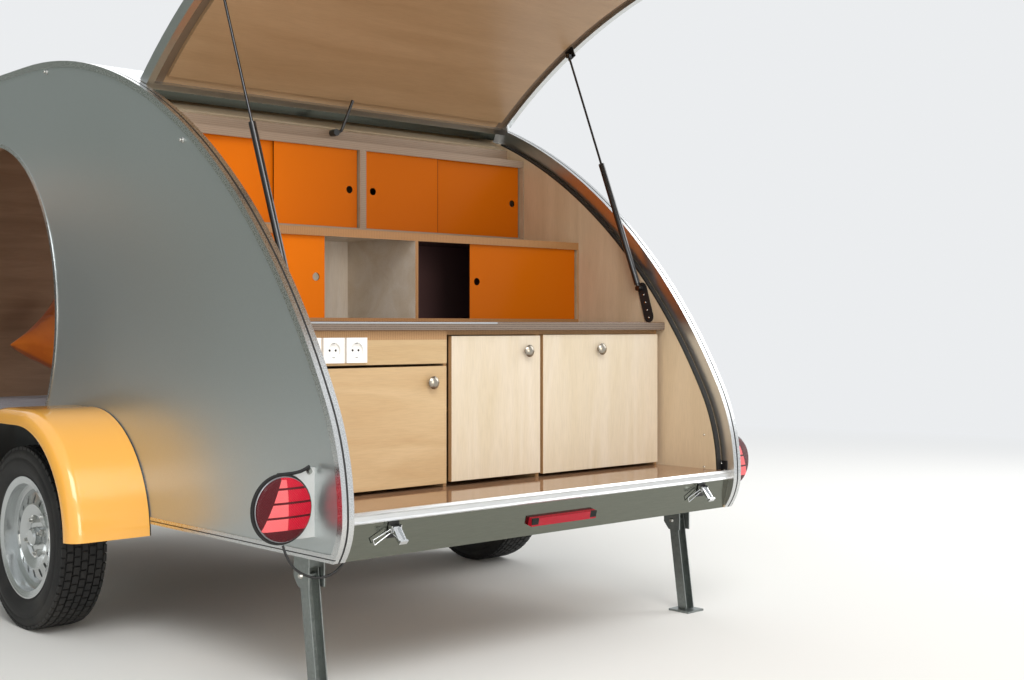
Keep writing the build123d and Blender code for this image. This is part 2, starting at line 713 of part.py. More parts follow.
# Fenders: arched shells open underneath and towards the wall
with BuildPart() as fenders:
    for name, s in sides:
        with BuildPart(mode=Mode.PRIVATE) as hollow:
            with BuildSketch(side.offset(s * half)):
                add(fender_face(fender_r - fender_skin, fender_bottom - 20))
            extrude(amount=s * (fender_wide - fender_skin))
            fillet(hollow.faces().sort_by(Axis.X)[-1 if s > 0 else 0].edges().filter_by(
                lambda e: e.center().Z > fender_bottom), fender_round - fender_skin)
        with BuildPart(mode=Mode.PRIVATE) as arch:
            with BuildSketch(side.offset(s * half)):
                add(fender_face(fender_r, fender_bottom))
            extrude(amount=s * fender_wide)
            fillet(arch.faces().sort_by(Axis.X)[-1 if s > 0 else 0].edges().filter_by(
                lambda e: e.center().Z > fender_bottom + 1), fender_round)
            add(hollow.part, mode=Mode.SUBTRACT)
            with BuildSketch(side.offset(s * (half + fender_wide / 2))):
                add(fender_face(fender_mouth_r, fender_bottom - 20))
            extrude(amount=s * fender_wide, mode=Mode.SUBTRACT)
            with BuildSketch(back.offset(-(axle_y + 2 * fender_r))) as corners:
                with Locations((s * (half + fender_wide / 2), fender_bottom)):
                    Rectangle(fender_wide, 2 * fender_r, align=(Align.CENTER, Align.MIN))
                fillet(corners.vertices().group_by(Axis.Z)[0].sort_by(Axis.X)[-1 if s > 0 else 0],
                       fender_corner)
            extrude(amount=4 * fender_r, mode=Mode.INTERSECT)
        add(arch.part)
save(fenders.part, "fenders")

# Wheels: a tyre each, and a slotted steel rim on its hub
for name, s in sides:
    centre = (s * (half + wheel_out), rear + axle_y, axle_z)
    spin = Axis(centre, (1, 0, 0))
    section = Plane(centre, x_dir=(s, 0, 0), z_dir=(0, -s, 0))
    w = tyre_wide / 2
    lip = w - 14
    with BuildPart() as tyre:
        with BuildSketch(section):
            with BuildLine():
                Polyline((9 - lip, bead_r + 1), (lip - 9, bead_r + 1), (lip - 5, rim_r + 2))
                ThreePointArc((lip - 5, rim_r + 2), (w - 1, axle_z - 62), (w - 7, axle_z - 18))
                Line((w - 7, axle_z - 18), (w - 14, axle_z - 5))
                Polyline((w - 14, axle_z - 5), (w - 26, axle_z), (26 - w, axle_z), (14 - w, axle_z - 5))
                Line((14 - w, axle_z - 5), (7 - w, axle_z - 18))
                ThreePointArc((7 - w, axle_z - 18), (1 - w, axle_z - 62), (5 - lip, rim_r + 2))
                Line((5 - lip, rim_r + 2), (9 - lip, bead_r + 1))
            make_face()
        revolve(axis=spin)
    save(tyre.part, f"tyre_{name}")
    with BuildPart() as rim:
        with BuildSketch(section):
            with BuildLine():
                Polyline((-lip, rim_r), (-lip, rim_r - 4), (-lip + 4, bead_r - 4), (-20, bead_r - 6),
                         (-14, 138), (10, 138), (24, 128), (32, 96), (26, 62), (18, 56), (18, 29),
                         (22, 29), (22, 58), (30, 64), (36, 96), (28, 132), (24, 142),
                         (30, bead_r - 6), (lip - 4, bead_r - 4), (lip, rim_r - 4), (lip, rim_r),
                         (lip - 4, rim_r), (lip - 8, bead_r), (28, bead_r - 2), (20, 142),
                         (-10, 142), (-18, bead_r - 2), (-lip + 8, bead_r), (-lip + 4, rim_r),
                         close=True)
            make_face()
        revolve(axis=spin)
        with BuildSketch(Plane(centre, x_dir=(0, 1, 0), z_dir=(s, 0, 0))):
            with PolarLocations(slot_ring, slot_count):
                SlotOverall(slot_long, slot_wide)
        extrude(amount=60, mode=Mode.SUBTRACT)
        with BuildSketch(section):
            with BuildLine():
                Polyline((-36, spindle_r + fit), (14, spindle_r + fit), (14, 0), (46, 0), (46, 20),
                         (40, 27), (20, 27), (20, 54), (8, 54), (-2, 40), (-36, 34), close=True)
            make_face()
        revolve(axis=spin)
    save(rim.part, f"rim_{name}")

# Torsion axle: a cross tube under the rails, with trailing arms that carry the spindles
arm_y = axle_y + arm_long
arm_z = rail_low - axle_tube_r
with BuildPart() as axle:
    add(rod((-inside + 60, rear + arm_y, arm_z), (inside - 60, rear + arm_y, arm_z), axle_tube_r))
    for name, s in sides:
        with BuildSketch(side.offset(s * (inside - 60))):
            with BuildLine():
                Polyline((axle_y, axle_z - 24), (arm_y, arm_z - 30), (arm_y + 30, arm_z),
                         (arm_y, arm_z + 30), (axle_y, axle_z + 24), (axle_y - 24, axle_z), close=True)
            make_face()
        extrude(amount=s * 32)
        add(rod((s * (inside - 40), rear + axle_y, axle_z),
                (s * (half + wheel_out + 10), rear + axle_y, axle_z), spindle_r))
        block((s * rail_x - 35, s * rail_x + 35), (arm_y - 50, arm_y + 50), (rail_low - 8, rail_low))
save(axle.part, "axle")

# Chassis: two rails with cross members under the floor, and cheeks with pins for the steady legs
rail_high = floor_top - floor_thick
with BuildPart() as chassis:
    for s in (-1, 1):
        block((s * rail_x - rail_wide / 2, s * rail_x + rail_wide / 2), (rail_start, front_y - rail_end),
              (rail_low, rail_high))
    for y in (rail_start, *member_y, front_y - last_member):
        block((-rail_x, rail_x), (y, y + rail_wide), (rail_high - 60, rail_high))
    for s in (-1, 1):
        x = s * steady_x
        block(sorted((s * rail_x, x + s * (leg_wide / 2 + 7))),
              (steady_y - cheek_deep / 2, steady_y + cheek_deep / 2), (rail_low - 4, rail_low))
        for c in (-1, 1):
            edge = x + c * (leg_wide / 2 + 3)
            with BuildSketch(side.offset(edge)):
                with BuildLine():
                    Polyline((steady_y - cheek_deep / 2, rail_low),
                             (steady_y + cheek_deep / 2, rail_low),
                             (steady_y + cheek_deep / 2, cheek_low + 24),
                             (steady_y + cheek_deep / 2 - 20, cheek_low),
                             (steady_y - cheek_deep / 2, cheek_low), close=True)
                make_face()
            extrude(amount=c * 4)
        add(rod((x - leg_wide / 2 - 7, rear + steady_y, steady_z),
                (x + leg_wide / 2 + 7, rear + steady_y, steady_z), pin_r))
save(chassis.part, "chassis")

# A-frame drawbar under the rails
with BuildPart() as drawbar:
    for s in (-1, 1):
        with BuildSketch(plan.offset(beam_low)):
            with BuildLine():
                Polyline((s * (rail_x + 30), beam_start_y), (s * (rail_x - 32), beam_start_y),
                         (s * (beam_tip_x - 31), beam_tip_y), (s * (beam_tip_x + 31), beam_tip_y),
                         close=True)
            make_face()
        extrude(amount=beam)
    block((-60, 60), (beam_tip_y - 130, beam_tip_y), (beam_low + beam, beam_low + beam + 2))
save(drawbar.part, "drawbar")

# Tow-ball coupling with its socket open underneath, and its lever
with BuildPart() as coupling:
    with BuildSketch(plan.offset(coupling_low)):
        with BuildLine():
            Polyline((-30, beam_tip_y - 120), (30, beam_tip_y - 120), (36, coupling_y), close=False)
            ThreePointArc((36, coupling_y), (0, coupling_tip), (-36, coupling_y))
            Line((-36, coupling_y), (-30, beam_tip_y - 120))
        make_face()
    extrude(amount=coupling_high)
    fillet(coupling.faces().sort_by(Axis.Z)[-1].edges(), 14)
    with BuildSketch(plan.offset(coupling_low)):
        with Locations((0, coupling_y)):
            Circle(ball_r)
    extrude(amount=44, mode=Mode.SUBTRACT)
    with BuildSketch(side.offset(-14)):
        with BuildLine():
            Polyline((coupling_y - 30, coupling_low + coupling_high - 4),
                     (coupling_y - 60, coupling_low + coupling_high - 4),
                     (coupling_y - 70, coupling_low + coupling_high + 22),
                     (beam_tip_y - 110, coupling_low + coupling_high + 60),
                     (beam_tip_y - 104, coupling_low + coupling_high + 72),
                     (coupling_y - 56, coupling_low + coupling_high + 38), close=True)
        make_face()
    extrude(amount=28)
save(coupling.part, "coupling")

# Jockey wheel on a bracket beside the drawbar: the tube is clamped, its leg slides, the fork turns
beam_slope = (beam_tip_x - rail_x) / (beam_tip_y - beam_start_y)
beam_at = rail_x + beam_slope * (jockey_y - beam_start_y)
fork_top = 2 * jockey_r + 16
jockey_base = (jockey_x, rear + jockey_y)
grip_mid = sum(jockey_grip) / 2
with BuildPart() as jockey_clamp:
    block((beam_at + 22, beam_at + 40), (jockey_y - 20, jockey_y + 20), (beam_low + 8, jockey_grip[1]))
    add(drawbar.part, mode=Mode.SUBTRACT)
    block((beam_at + 32, jockey_x - 30), (jockey_y - 6, jockey_y + 6), jockey_grip)
    add(rod((*jockey_base, jockey_tube_low), (*jockey_base, jockey_tube_top), jockey_tube_r))
    with BuildSketch(plan.offset(jockey_grip[0])):
        with Locations((jockey_x, jockey_y)):
            Circle(jockey_tube_r + 8)
            Rectangle(jockey_tube_r + 34, 20, align=(Align.MIN, Align.CENTER))
    extrude(amount=jockey_grip[1] - jockey_grip[0])
    block((jockey_x + jockey_tube_r + 6, jockey_x + 60), (jockey_y - 2, jockey_y + 2), jockey_grip)
    add(rod((jockey_x + 46, rear + jockey_y - 46, grip_mid), (jockey_x + 46, rear + jockey_y + 14, grip_mid), 6))
    add(rod((*jockey_base, jockey_tube_low - 10), (*jockey_base, jockey_tube_top - 20),
            jockey_inner_r + fit), mode=Mode.SUBTRACT)
    add(rod((*jockey_base, jockey_tube_top), (*jockey_base, crank_z + 8), 9))
    add(rod((*jockey_base, crank_z), (jockey_x, rear + jockey_y - crank_long - 6, crank_z), 6))
    add(rod((jockey_x, rear + jockey_y - crank_long, crank_z - 2),
            (jockey_x, rear + jockey_y - crank_long, crank_z + 48), 11))
save(jockey_clamp.part, "jockey_clamp")
with BuildPart() as jockey_leg:
    add(rod((*jockey_base, fork_top + 8), (*jockey_base, jockey_grip[1]), jockey_inner_r))
save(jockey_leg.part, "jockey_leg")
jockey_axle_y = jockey_y - jockey_trail
with BuildPart() as jockey_fork:
    block((jockey_x - 38, jockey_x + 38), (jockey_y - 30, jockey_y + 26), (fork_top, fork_top + 7))
    for s in (-1, 1):
        with BuildSketch(side.offset(jockey_x + s * 38)):
            with BuildLine():
                Polyline((jockey_y - 30, fork_top + 7), (jockey_y + 26, fork_top + 7),
                         (jockey_axle_y + 20, jockey_r), (jockey_axle_y, jockey_r - 20),
                         (jockey_axle_y - 20, jockey_r), close=True)
            make_face()
        extrude(amount=-s * 5)
    add(rod((jockey_x - 38, rear + jockey_axle_y, jockey_r),
            (jockey_x + 38, rear + jockey_axle_y, jockey_r), 7))
save(jockey_fork.part, "jockey_fork")
with BuildPart() as jockey_wheel:
    add(rod((jockey_x - jockey_wide / 2, rear + jockey_axle_y, jockey_r),
            (jockey_x + jockey_wide / 2, rear + jockey_axle_y, jockey_r), jockey_r))
    fillet(jockey_wheel.edges(), 8)
    add(rod((jockey_x - 40, rear + jockey_axle_y, jockey_r),
            (jockey_x + 40, rear + jockey_axle_y, jockey_r), 7 + fit), mode=Mode.SUBTRACT)
save(jockey_wheel.part, "jockey_wheel")

# Steady legs at the rear, each pinned between its cheeks
lean = radians(steady_lean)
leg_long = (steady_z - foot_thick) / cos(lean)
for name, s in sides:
    x = s * steady_x
    pivot = Plane((x - leg_wide / 2, rear + steady_y, steady_z), x_dir=(0, -sin(lean), -cos(lean)),
                  z_dir=(1, 0, 0))
    with BuildPart() as leg:
        with BuildSketch(pivot):
            with Locations(((leg_long - 16) / 2, 0)):
                Rectangle(leg_long + 16, leg_deep)
        extrude(amount=leg_wide)
        with BuildSketch(pivot.offset(leg_sheet)):
            with Locations(((leg_long - 16) / 2, -leg_sheet)):
                Rectangle(leg_long + 40, leg_deep)
        extrude(amount=leg_wide - 2 * leg_sheet, mode=Mode.SUBTRACT)
        with BuildSketch(pivot):
            Circle(pin_r + fit)
        extrude(amount=leg_wide, mode=Mode.SUBTRACT)
        foot_y = steady_y - leg_long * sin(lean)
        block((x - 38, x + 38), (foot_y - 40, foot_y + 40), (0, foot_thick))
    save(leg.part, f"steady_{name}")

# Round tail lamps on plates beside the rear corners, and the third brake lamp on the apron
lamp_out = 98
tail_z = 472
lens_r = 76
lamp_plane = 98           # plane of the plates
brake_z = (368, 390)      # third brake lamp
with BuildPart() as lamp_plates:
    for name, s in sides:
        x = s * (half + lamp_out)
        with BuildSketch(back.offset(-lamp_plane)):
            with Locations((x, tail_z)):
                Circle(lens_r + 4)
            with BuildLine():
                Polyline((s * half, tail_z - lens_r), (s * half, tail_z + lens_r + 16),
                         (s * (half + 16), tail_z + lens_r + 16), (x, tail_z + lens_r),
                         (x, tail_z - lens_r), close=True)
            make_face()
        extrude(amount=-4)
        block(sorted((s * half, s * (half + 3))), (lamp_plane, lamp_plane + 30),
              (tail_z - lens_r, tail_z + lens_r + 16))
save(lamp_plates.part, "lamp_plates")
with BuildPart() as brake_lamp:
    block((-125, 125), (-14, 0), brake_z)
for label, deep in (("lamp_rings", 0), ("lamp_lenses", 1)):
    with BuildPart() as lamp:
        for name, s in sides:
            x = s * (half + lamp_out)
            plane = Plane((x, rear + lamp_plane, tail_z), x_dir=(1, 0, 0), z_dir=(0, 0, 1))
            with BuildSketch(plane):
                with BuildLine():
                    if deep:
                        Polyline((0, -6), (lens_r, -6), (lens_r, -18), (lens_r - 5, -21))
                        TangentArc((0, -30), (lens_r - 5, -21), tangent=(1, 0))
                        Line((0, -30), (0, -6))
                    else:
                        Polyline((0, 0), (lens_r + 6, 0), (lens_r + 9, -4), (lens_r + 7, -9),
                                 (lens_r, -9), (lens_r, -6), (0, -6), close=True)
                make_face()
            revolve(axis=Axis((x, rear + lamp_plane, tail_z), (0, 1, 0)))
        if deep:
            add(brake_lamp.part.rotate(apron_fold, apron_lean))
    save(lamp.part, label)

# Toggle latches on the apron: a base with two ears, the lever hanging open and the wire bail
latch_in = 165            # from the body's side
latch_wide = 32
latch_top = sill_low - 2
with BuildPart() as latches:
    for name, s in sides:
        x = s * (half - latch_in)
        block((x - latch_wide / 2, x + latch_wide / 2), (-3, 0), (latch_top - 42, latch_top))
        for c in (-1, 1):
            edge = x + c * (latch_wide / 2 - 3)
            block(sorted((edge, edge + c * 3)), (-16, -3), (latch_top - 24, latch_top - 6))
        with BuildSketch(side.offset(x - latch_wide / 2 + 4)):
            with BuildLine():
                Polyline((-6, latch_top - 9), (-17, latch_top - 10), (-46, latch_top - 33),
                         (-50, latch_top - 30), (-53, latch_top - 33), (-47, latch_top - 43),
                         (-14, latch_top - 22), close=True)
            make_face()
        extrude(amount=latch_wide - 8)
        with BuildSketch(side.offset(x - latch_wide / 2 + 7)):
            with BuildLine():
                Polyline((-11, latch_top - 3), (-20, latch_top - 7), (-48, latch_top - 31),
                         (-44, latch_top - 36), (-15, latch_top - 16), close=True)
            make_face()
        extrude(amount=latch_wide - 14, mode=Mode.SUBTRACT)
        add(rod((x - latch_wide / 2, rear - 11, latch_top - 15), (x + latch_wide / 2, rear - 11, latch_top - 15), 2.5))
        for near, far in (((x - 13, 15), (x - 62, 40)), ((x + 3, 15), (x - 54, 53))):
            add(rod((near[0], rear - 11, latch_top - near[1]), (far[0], rear - 8, latch_top - far[1]), 1.5))
        add(rod((x - 62, rear - 8, latch_top - 40), (x - 54, rear - 8, latch_top - 53), 1.5))
save(latches.part.rotate(apron_fold, apron_lean), "latches")

# Mattress and bolster
mattress_top = floor_top + mattress_thick
with BuildPart() as mattress:
    block((-inside + 8, inside - 8), (foot_wall + board + 6, front_y - 90), (floor_top, mattress_top))
    fillet(mattress.edges().filter_by(Axis.Z), 30)
save(mattress.part, "mattress")
cushion_at = (-inside / 5, front_y - 330, mattress_top + cushion_size / 2 + 14)
cushion_plane = Plane((cushion_at[0], rear + cushion_at[1], cushion_at[2]), x_dir=(1, 0, 0),
                      z_dir=(0, -cos(radians(cushion_lean)), sin(radians(cushion_lean))))
with BuildPart() as cushion:
    with BuildSketch(cushion_plane.rotated((0, 0, cushion_roll))):
        RectangleRounded(cushion_size, cushion_size, 40)
    extrude(amount=cushion_thick / 2, both=True)
    fillet(cushion.faces().sort_by(Axis.Y)[-1].edges() + cushion.faces().sort_by(Axis.Y)[0].edges(), 30)
save(cushion.part, "cushion")

# Cable of the left tail lamp: it drops from the ring and comes back up under the apron
cable_r = 3
cable_points = (
    (-853, 90, 386), (-852, 78, 361), (-839, 66, 333), (-811, 56, 314), (-782, 48, 305),
    (-752, 41, 310), (-730, 37, 323), (-716, 36, 337),
)
route = [Vector(x, rear + y, z) for x, y, z in cable_points]
radii = []
for before, here, after in zip(route, route[1:], route[2:]):
    bend = radians((here - before).get_angle(after - here))
    radii.append(0.45 * min((here - before).length, (after - here).length) / tan(bend / 2))
print("cable radii", [round(r, 1) for r in radii])
with BuildPart() as lamp_cable:
    with BuildLine() as cable_line:
        FilletPolyline(*route, radius=radii)
    with BuildSketch(Plane(cable_line.line @ 0, z_dir=cable_line.line % 0)):
        Circle(cable_r)
    sweep(path=cable_line.line)
cable_long = sum(edge.length for edge in cable_line.edges())
print("cable length", round(cable_long, 1), "volume ratio",
      round(lamp_cable.part.volume / (cable_long * pi * cable_r ** 2), 4))
save(lamp_cable.part, "lamp_cable")
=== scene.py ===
# %% [markdown]
# # A teardrop trailer with its galley open
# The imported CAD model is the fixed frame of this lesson. Its solids are already in place, so the work here is
# what a finisher does in a workshop: coat each part, add the small fittings that repeat, upholster the bed,
# and light the result. Lengths are in metres, and y is often counted forward from the body's rear corner.

# %% Load the frame
import math
from types import SimpleNamespace

import bmesh
import bpy
from mathutils import Matrix, Vector


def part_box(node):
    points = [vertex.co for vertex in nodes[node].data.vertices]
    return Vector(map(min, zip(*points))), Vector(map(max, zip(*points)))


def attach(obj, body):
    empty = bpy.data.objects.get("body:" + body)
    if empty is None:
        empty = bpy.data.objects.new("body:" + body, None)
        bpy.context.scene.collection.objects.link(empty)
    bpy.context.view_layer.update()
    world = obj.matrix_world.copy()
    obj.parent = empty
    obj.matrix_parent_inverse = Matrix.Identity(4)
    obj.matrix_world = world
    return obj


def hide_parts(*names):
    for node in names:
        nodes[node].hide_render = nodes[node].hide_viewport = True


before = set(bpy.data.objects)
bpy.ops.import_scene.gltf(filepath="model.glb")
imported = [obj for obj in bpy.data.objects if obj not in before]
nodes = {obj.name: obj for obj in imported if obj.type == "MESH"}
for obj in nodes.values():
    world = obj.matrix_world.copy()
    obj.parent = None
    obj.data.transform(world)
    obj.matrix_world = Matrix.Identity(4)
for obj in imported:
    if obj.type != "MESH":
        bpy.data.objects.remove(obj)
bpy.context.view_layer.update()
BULGE = 0.020        # how far the tail swells out behind the body's lower rear corner
OUTER_LEAF = 0.032   # how thick a wall is outside its inner leaf
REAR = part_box("side_left")[0].y + BULGE
HALF = -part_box("side_left")[0].x
LEDGE = HALF - OUTER_LEAF


def at(x, y, z):
    """A point whose y is counted forward from the rear corner of the body."""
    return Vector((x, REAR + y, z))


def put_in(name, data):
    """An object of some data, linked to the scene."""
    made = bpy.data.objects.new(name, data)
    bpy.context.scene.collection.objects.link(made)
    return made


print(len(nodes), "nodes; rear corner at y =", round(REAR, 4), "and half the width is", round(HALF, 4))

# %% [markdown]
# ## The camera
# The picture was taken standing behind the left corner, level, at chest height. The lens, the place and the
# turn come from the vanishing points of the body's long and short edges. The horizon lies a little above the
# middle of the picture, which is a small vertical shift and not a tilt, so upright edges stay upright.

# %% Camera
camera_data = bpy.data.cameras.new("camera")
camera_data.lens = 47.32
camera_data.sensor_width = 36
camera_data.shift_y = -0.0127
camera = put_in("camera", camera_data)
camera.location = at(-2.623, -2.608, 0.903)
camera.rotation_euler = (math.radians(90), 0, math.radians(-42.93))
bpy.context.scene.camera = camera
print("camera at", [round(c, 3) for c in camera.location])

# %% [markdown]
# ## The lamp's cable
# A black round flex leaves the left tail lamp, sags under its own weight and comes up behind the apron. A
# cord is one smooth curve, so a NURBS spline through a few control points is enough. Its order is set after
# the points are there: set before, it would fall back to straight runs.

# %% Cable of the left tail lamp
CABLE = ((-0.853, 0.090, 0.386), (-0.852, 0.078, 0.361), (-0.839, 0.066, 0.333), (-0.811, 0.056, 0.314),
         (-0.782, 0.048, 0.305), (-0.752, 0.041, 0.310), (-0.730, 0.037, 0.323), (-0.716, 0.036, 0.337))


def round_line(name, points, radius, rounds, steps):
    """A round line along a smooth curve through a few control points."""
    line = bpy.data.curves.new(name, "CURVE")
    line.dimensions = "3D"
    line.bevel_depth = radius
    line.bevel_resolution = rounds
    line.use_fill_caps = True
    run = line.splines.new("NURBS")
    run.points.add(len(points) - 1)
    for control, place in zip(run.points, points):
        control.co = (*place, 1)
    run.order_u = 3
    run.use_endpoint_u = True
    run.resolution_u = steps
    return put_in(name, line)


cable = round_line("lamp_flex", [at(*place) for place in CABLE], 0.003, 4, 12)
print("cable length", round(cable.data.splines[0].calc_length(), 3))

# %% [markdown]
# ## Small tools for finishes
# Colours are written as the sRGB hex values that a paint chart would give, and a shader wants linear light,
# so one function converts them. One function adds a node with its settings and links, and short forms of it
# stand for the nodes that come back in every finish. A finish is a small set of values (colour, metallic,
# roughness, height), and several finishes can lie on one solid, each behind a mask: that is how a board shows
# its plies on the edge and its veneer on the face.

# %% Colour and node helpers
def srgb(code):
    """An sRGB hex colour as linear RGBA."""
    parts = [int(code[i:i + 2], 16) / 255 for i in (1, 3, 5)]
    return [c / 12.92 if c <= 0.04045 else ((c + 0.055) / 1.055) ** 2.4 for c in parts] + [1.0]


def add_node(tree, kind, inputs=None, **settings):
    """Adds a node. Settings are its properties, inputs are its sockets' values or what is linked to them."""
    made = tree.nodes.new(kind)
    for name, value in settings.items():
        setattr(made, name, value)
    for key, value in (inputs or {}).items():
        if isinstance(value, bpy.types.NodeSocket):
            tree.links.new(value, made.inputs[key])
        else:
            made.inputs[key].default_value = value
    return made


print("orange in linear light:", [round(c, 3) for c in srgb("#f08020")[:3]])


# %% Start a material
def start_finish(name, shader_inputs=None):
    """A material with its shader, and the point and facing of the surface in the object's own axes."""
    mat = bpy.data.materials.new(name)
    mat.use_nodes = True
    tree = mat.node_tree
    tree.nodes.clear()
    shader = add_node(tree, "ShaderNodeBsdfPrincipled", shader_inputs)
    add_node(tree, "ShaderNodeOutputMaterial", {"Surface": shader.outputs["BSDF"]})
    spot = add_node(tree, "ShaderNodeTexCoord")
    point, facing = spot.outputs["Object"], spot.outputs["Normal"]
    p = add_node(tree, "ShaderNodeSeparateXYZ", {0: point}).outputs
    n = add_node(tree, "ShaderNodeSeparateXYZ", {0: facing}).outputs
    across = add_node(tree, "ShaderNodeMath", {0: p[0]}, operation="ABSOLUTE").outputs[0]
    return SimpleNamespace(mat=mat, tree=tree, shader=shader, point=point, facing=facing, across=across,
                           x=p[0], y=p[1], z=p[2], nx=n[0], ny=n[1], nz=n[2])


# %% Short forms for sums and textures
def calc(f, operation, *values):
    """The result of one sum on numbers."""
    return add_node(f.tree, "ShaderNodeMath", dict(enumerate(values)), operation=operation).outputs[0]


def calc_vector(f, operation, *values):
    """The result of one sum on vectors. It is a number for a dot product and a length."""
    made = add_node(f.tree, "ShaderNodeVectorMath", dict(enumerate(values)), operation=operation)
    return made.outputs["Value" if operation in ("DOT_PRODUCT", "LENGTH") else "Vector"]


def remap(f, value, span=(0.0, 1.0), to=(0.0, 1.0)):
    """Stretches one span of values to another, and holds the value at its ends."""
    return add_node(f.tree, "ShaderNodeMapRange",
                    {0: value, 1: span[0], 2: span[1], 3: to[0], 4: to[1]}).outputs[0]


def noise(f, scale, detail=2.0, point=None):
    """Soft noise over the object's own axes, or over another set of points."""
    return add_node(f.tree, "ShaderNodeTexNoise", {"Vector": f.point if point is None else point,
                                                   "Scale": scale, "Detail": detail}).outputs[0]


def blend(f, mask, one, two):
    """One colour where the mask is 0 and another where it is 1."""
    return add_node(f.tree, "ShaderNodeMix", {0: mask, 6: one, 7: two}, data_type="RGBA").outputs[2]


def shaded(f, color, shade):
    """A colour times a shade."""
    return add_node(f.tree, "ShaderNodeMix", {0: 1.0, 6: color, 7: shade},
                    data_type="RGBA", blend_type="MULTIPLY").outputs[2]


# %% Masks and layers
FAR = 9.0   # beyond the object: the open end of a mask
EDGE = (-0.5, 0.5)   # a facing part in this span belongs to a face that looks across that axis


def between(f, value, low, high):
    """A mask that is 1 where the value lies between low and high."""
    return calc(f, "MULTIPLY", calc(f, "GREATER_THAN", value, low), calc(f, "LESS_THAN", value, high))


def where_all(f, *masks):
    """A mask that is 1 where all the masks are."""
    made = masks[0]
    for mask in masks[1:]:
        made = calc(f, "MULTIPLY", made, mask)
    return made


# %% Layers
def lay_finish(f, base, *covers, strength=0.6):
    """Lays finishes over each other. Each cover is a mask and the finish that shows there."""
    for key, socket, plain in (("color", "Base Color", None), ("metallic", "Metallic", 0.0),
                               ("roughness", "Roughness", 0.5), ("height", None, 0.0)):
        value = base.get(key, plain)
        for mask, cover in covers:
            new = cover.get(key, plain)
            linked = isinstance(value, bpy.types.NodeSocket) or isinstance(new, bpy.types.NodeSocket)
            if key == "color":
                value = blend(f, mask, value, new)
            elif linked or value != new:
                value = add_node(f.tree, "ShaderNodeMix", {0: mask, 2: value, 3: new}).outputs[0]
        if socket and isinstance(value, bpy.types.NodeSocket):
            f.tree.links.new(value, f.shader.inputs[socket])
        elif socket:
            f.shader.inputs[socket].default_value = value
        elif isinstance(value, bpy.types.NodeSocket):
            bump = add_node(f.tree, "ShaderNodeBump",
                            {"Height": value, "Distance": 0.001, "Strength": strength})
            f.tree.links.new(bump.outputs[0], f.shader.inputs["Normal"])
    return f.mat


def paint(name, tone, roughness, metallic=0.0, shader_inputs=None):
    """A finish of one colour all over."""
    f = start_finish(name, shader_inputs)
    return lay_finish(f, {"color": srgb(tone), "metallic": metallic, "roughness": roughness})


def wear(mat, *names):
    """Gives a material to CAD nodes, in their own slot."""
    for name in names:
        mesh = nodes[name].data
        if mesh.materials:
            mesh.materials[0] = mat
        else:
            mesh.materials.append(mat)
    print(mat.name, "on", ", ".join(names))


# %% [markdown]
# ## Birch plywood
# The galley is made of clear-varnished birch plywood. Rotary-cut birch has a broad, soft figure that runs
# with the grain, and short dark pores. Noise stretched along the grain gives both. A cut edge shows the
# plies, alternately light and dark and about 1.4 mm thick. That is too fine for this view, so they are drawn
# at 3 mm.

# %% Birch face and plies
PLY_PAIR = 0.006


def birch_face(f, along, light, dark, figure=1.0):
    """Varnished birch whose grain runs along one axis."""
    coarse, fine = [7.0] * 3, [420.0] * 3
    coarse["xyz".index(along)] = 0.8
    fine["xyz".index(along)] = 22.0
    broad = add_node(f.tree, "ShaderNodeMapping", {"Vector": f.point, "Scale": coarse}).outputs[0]
    grain = add_node(f.tree, "ShaderNodeTexNoise", {"Vector": broad, "Scale": 1.6, "Detail": 5.0,
                                                    "Roughness": 0.55, "Distortion": 1.3}).outputs[0]
    tones = add_node(f.tree, "ShaderNodeValToRGB", {0: grain})
    stops = tones.color_ramp.elements
    stops[0].position, stops[0].color = 0.5 - 0.22 / figure, srgb(dark)
    stops[1].position, stops[1].color = 0.5 + 0.16 / figure, srgb(light)
    narrow = add_node(f.tree, "ShaderNodeMapping", {"Vector": f.point, "Scale": fine}).outputs[0]
    pores = noise(f, 1.0, 2.0, narrow)
    return {"color": shaded(f, tones.outputs[0], remap(f, pores, (0.35, 0.6), (0.93, 1.0))),
            "roughness": remap(f, grain, to=(0.33, 0.45)),
            "height": remap(f, pores, (0.35, 0.6), (-0.06, 0.0))}


def birch_plies(f, through, light="#c09a6c", dark="#7a5434"):
    """The cut edge of a board whose plies lie across one axis."""
    step = calc(f, "FRACT", calc(f, "MULTIPLY", through, 1 / PLY_PAIR))
    mottled = calc(f, "MULTIPLY", remap(f, step, (0.42, 0.58)), noise(f, 260.0))
    return {"color": blend(f, mottled, srgb(light), srgb(dark)), "roughness": 0.55}


# %% [markdown]
# ## Coated sheet and anodised aluminium
# The walls, the roof and the hatch are skinned with grey metallic coated aluminium: a lacquer with flakes, a
# soft broad reflection and a faint waviness from rolling. Profiles round the walls and the rebate that the
# hatch closes into are anodised, so they are brighter and finely lined. The hinge profile is dark bronze.

# %% Metals
def coated_sheet(f):
    """Grey metallic lacquer on rolled sheet."""
    flake = remap(f, noise(f, 900.0, 1.0), (0.3, 0.7), (0.93, 1.05))
    return {"color": shaded(f, srgb("#bac1c1"), flake), "metallic": 0.8,
            "roughness": remap(f, noise(f, 2.2, 3.0), to=(0.28, 0.40)),
            "height": calc(f, "MULTIPLY", noise(f, 5.0), 0.8)}


def drawn_metal(f, tone, gloss, lined=0.05, scale=(60.0, 60.0, 60.0)):
    """Bare or anodised metal with a fine drawn surface."""
    lines = add_node(f.tree, "ShaderNodeMapping", {"Vector": f.point, "Scale": scale}).outputs[0]
    streak = noise(f, 8.0, 3.0, lines)
    return {"color": shaded(f, srgb(tone), remap(f, streak, (0.3, 0.7), (0.92, 1.03))), "metallic": 1.0,
            "roughness": remap(f, streak, to=(gloss - lined, gloss + lined))}


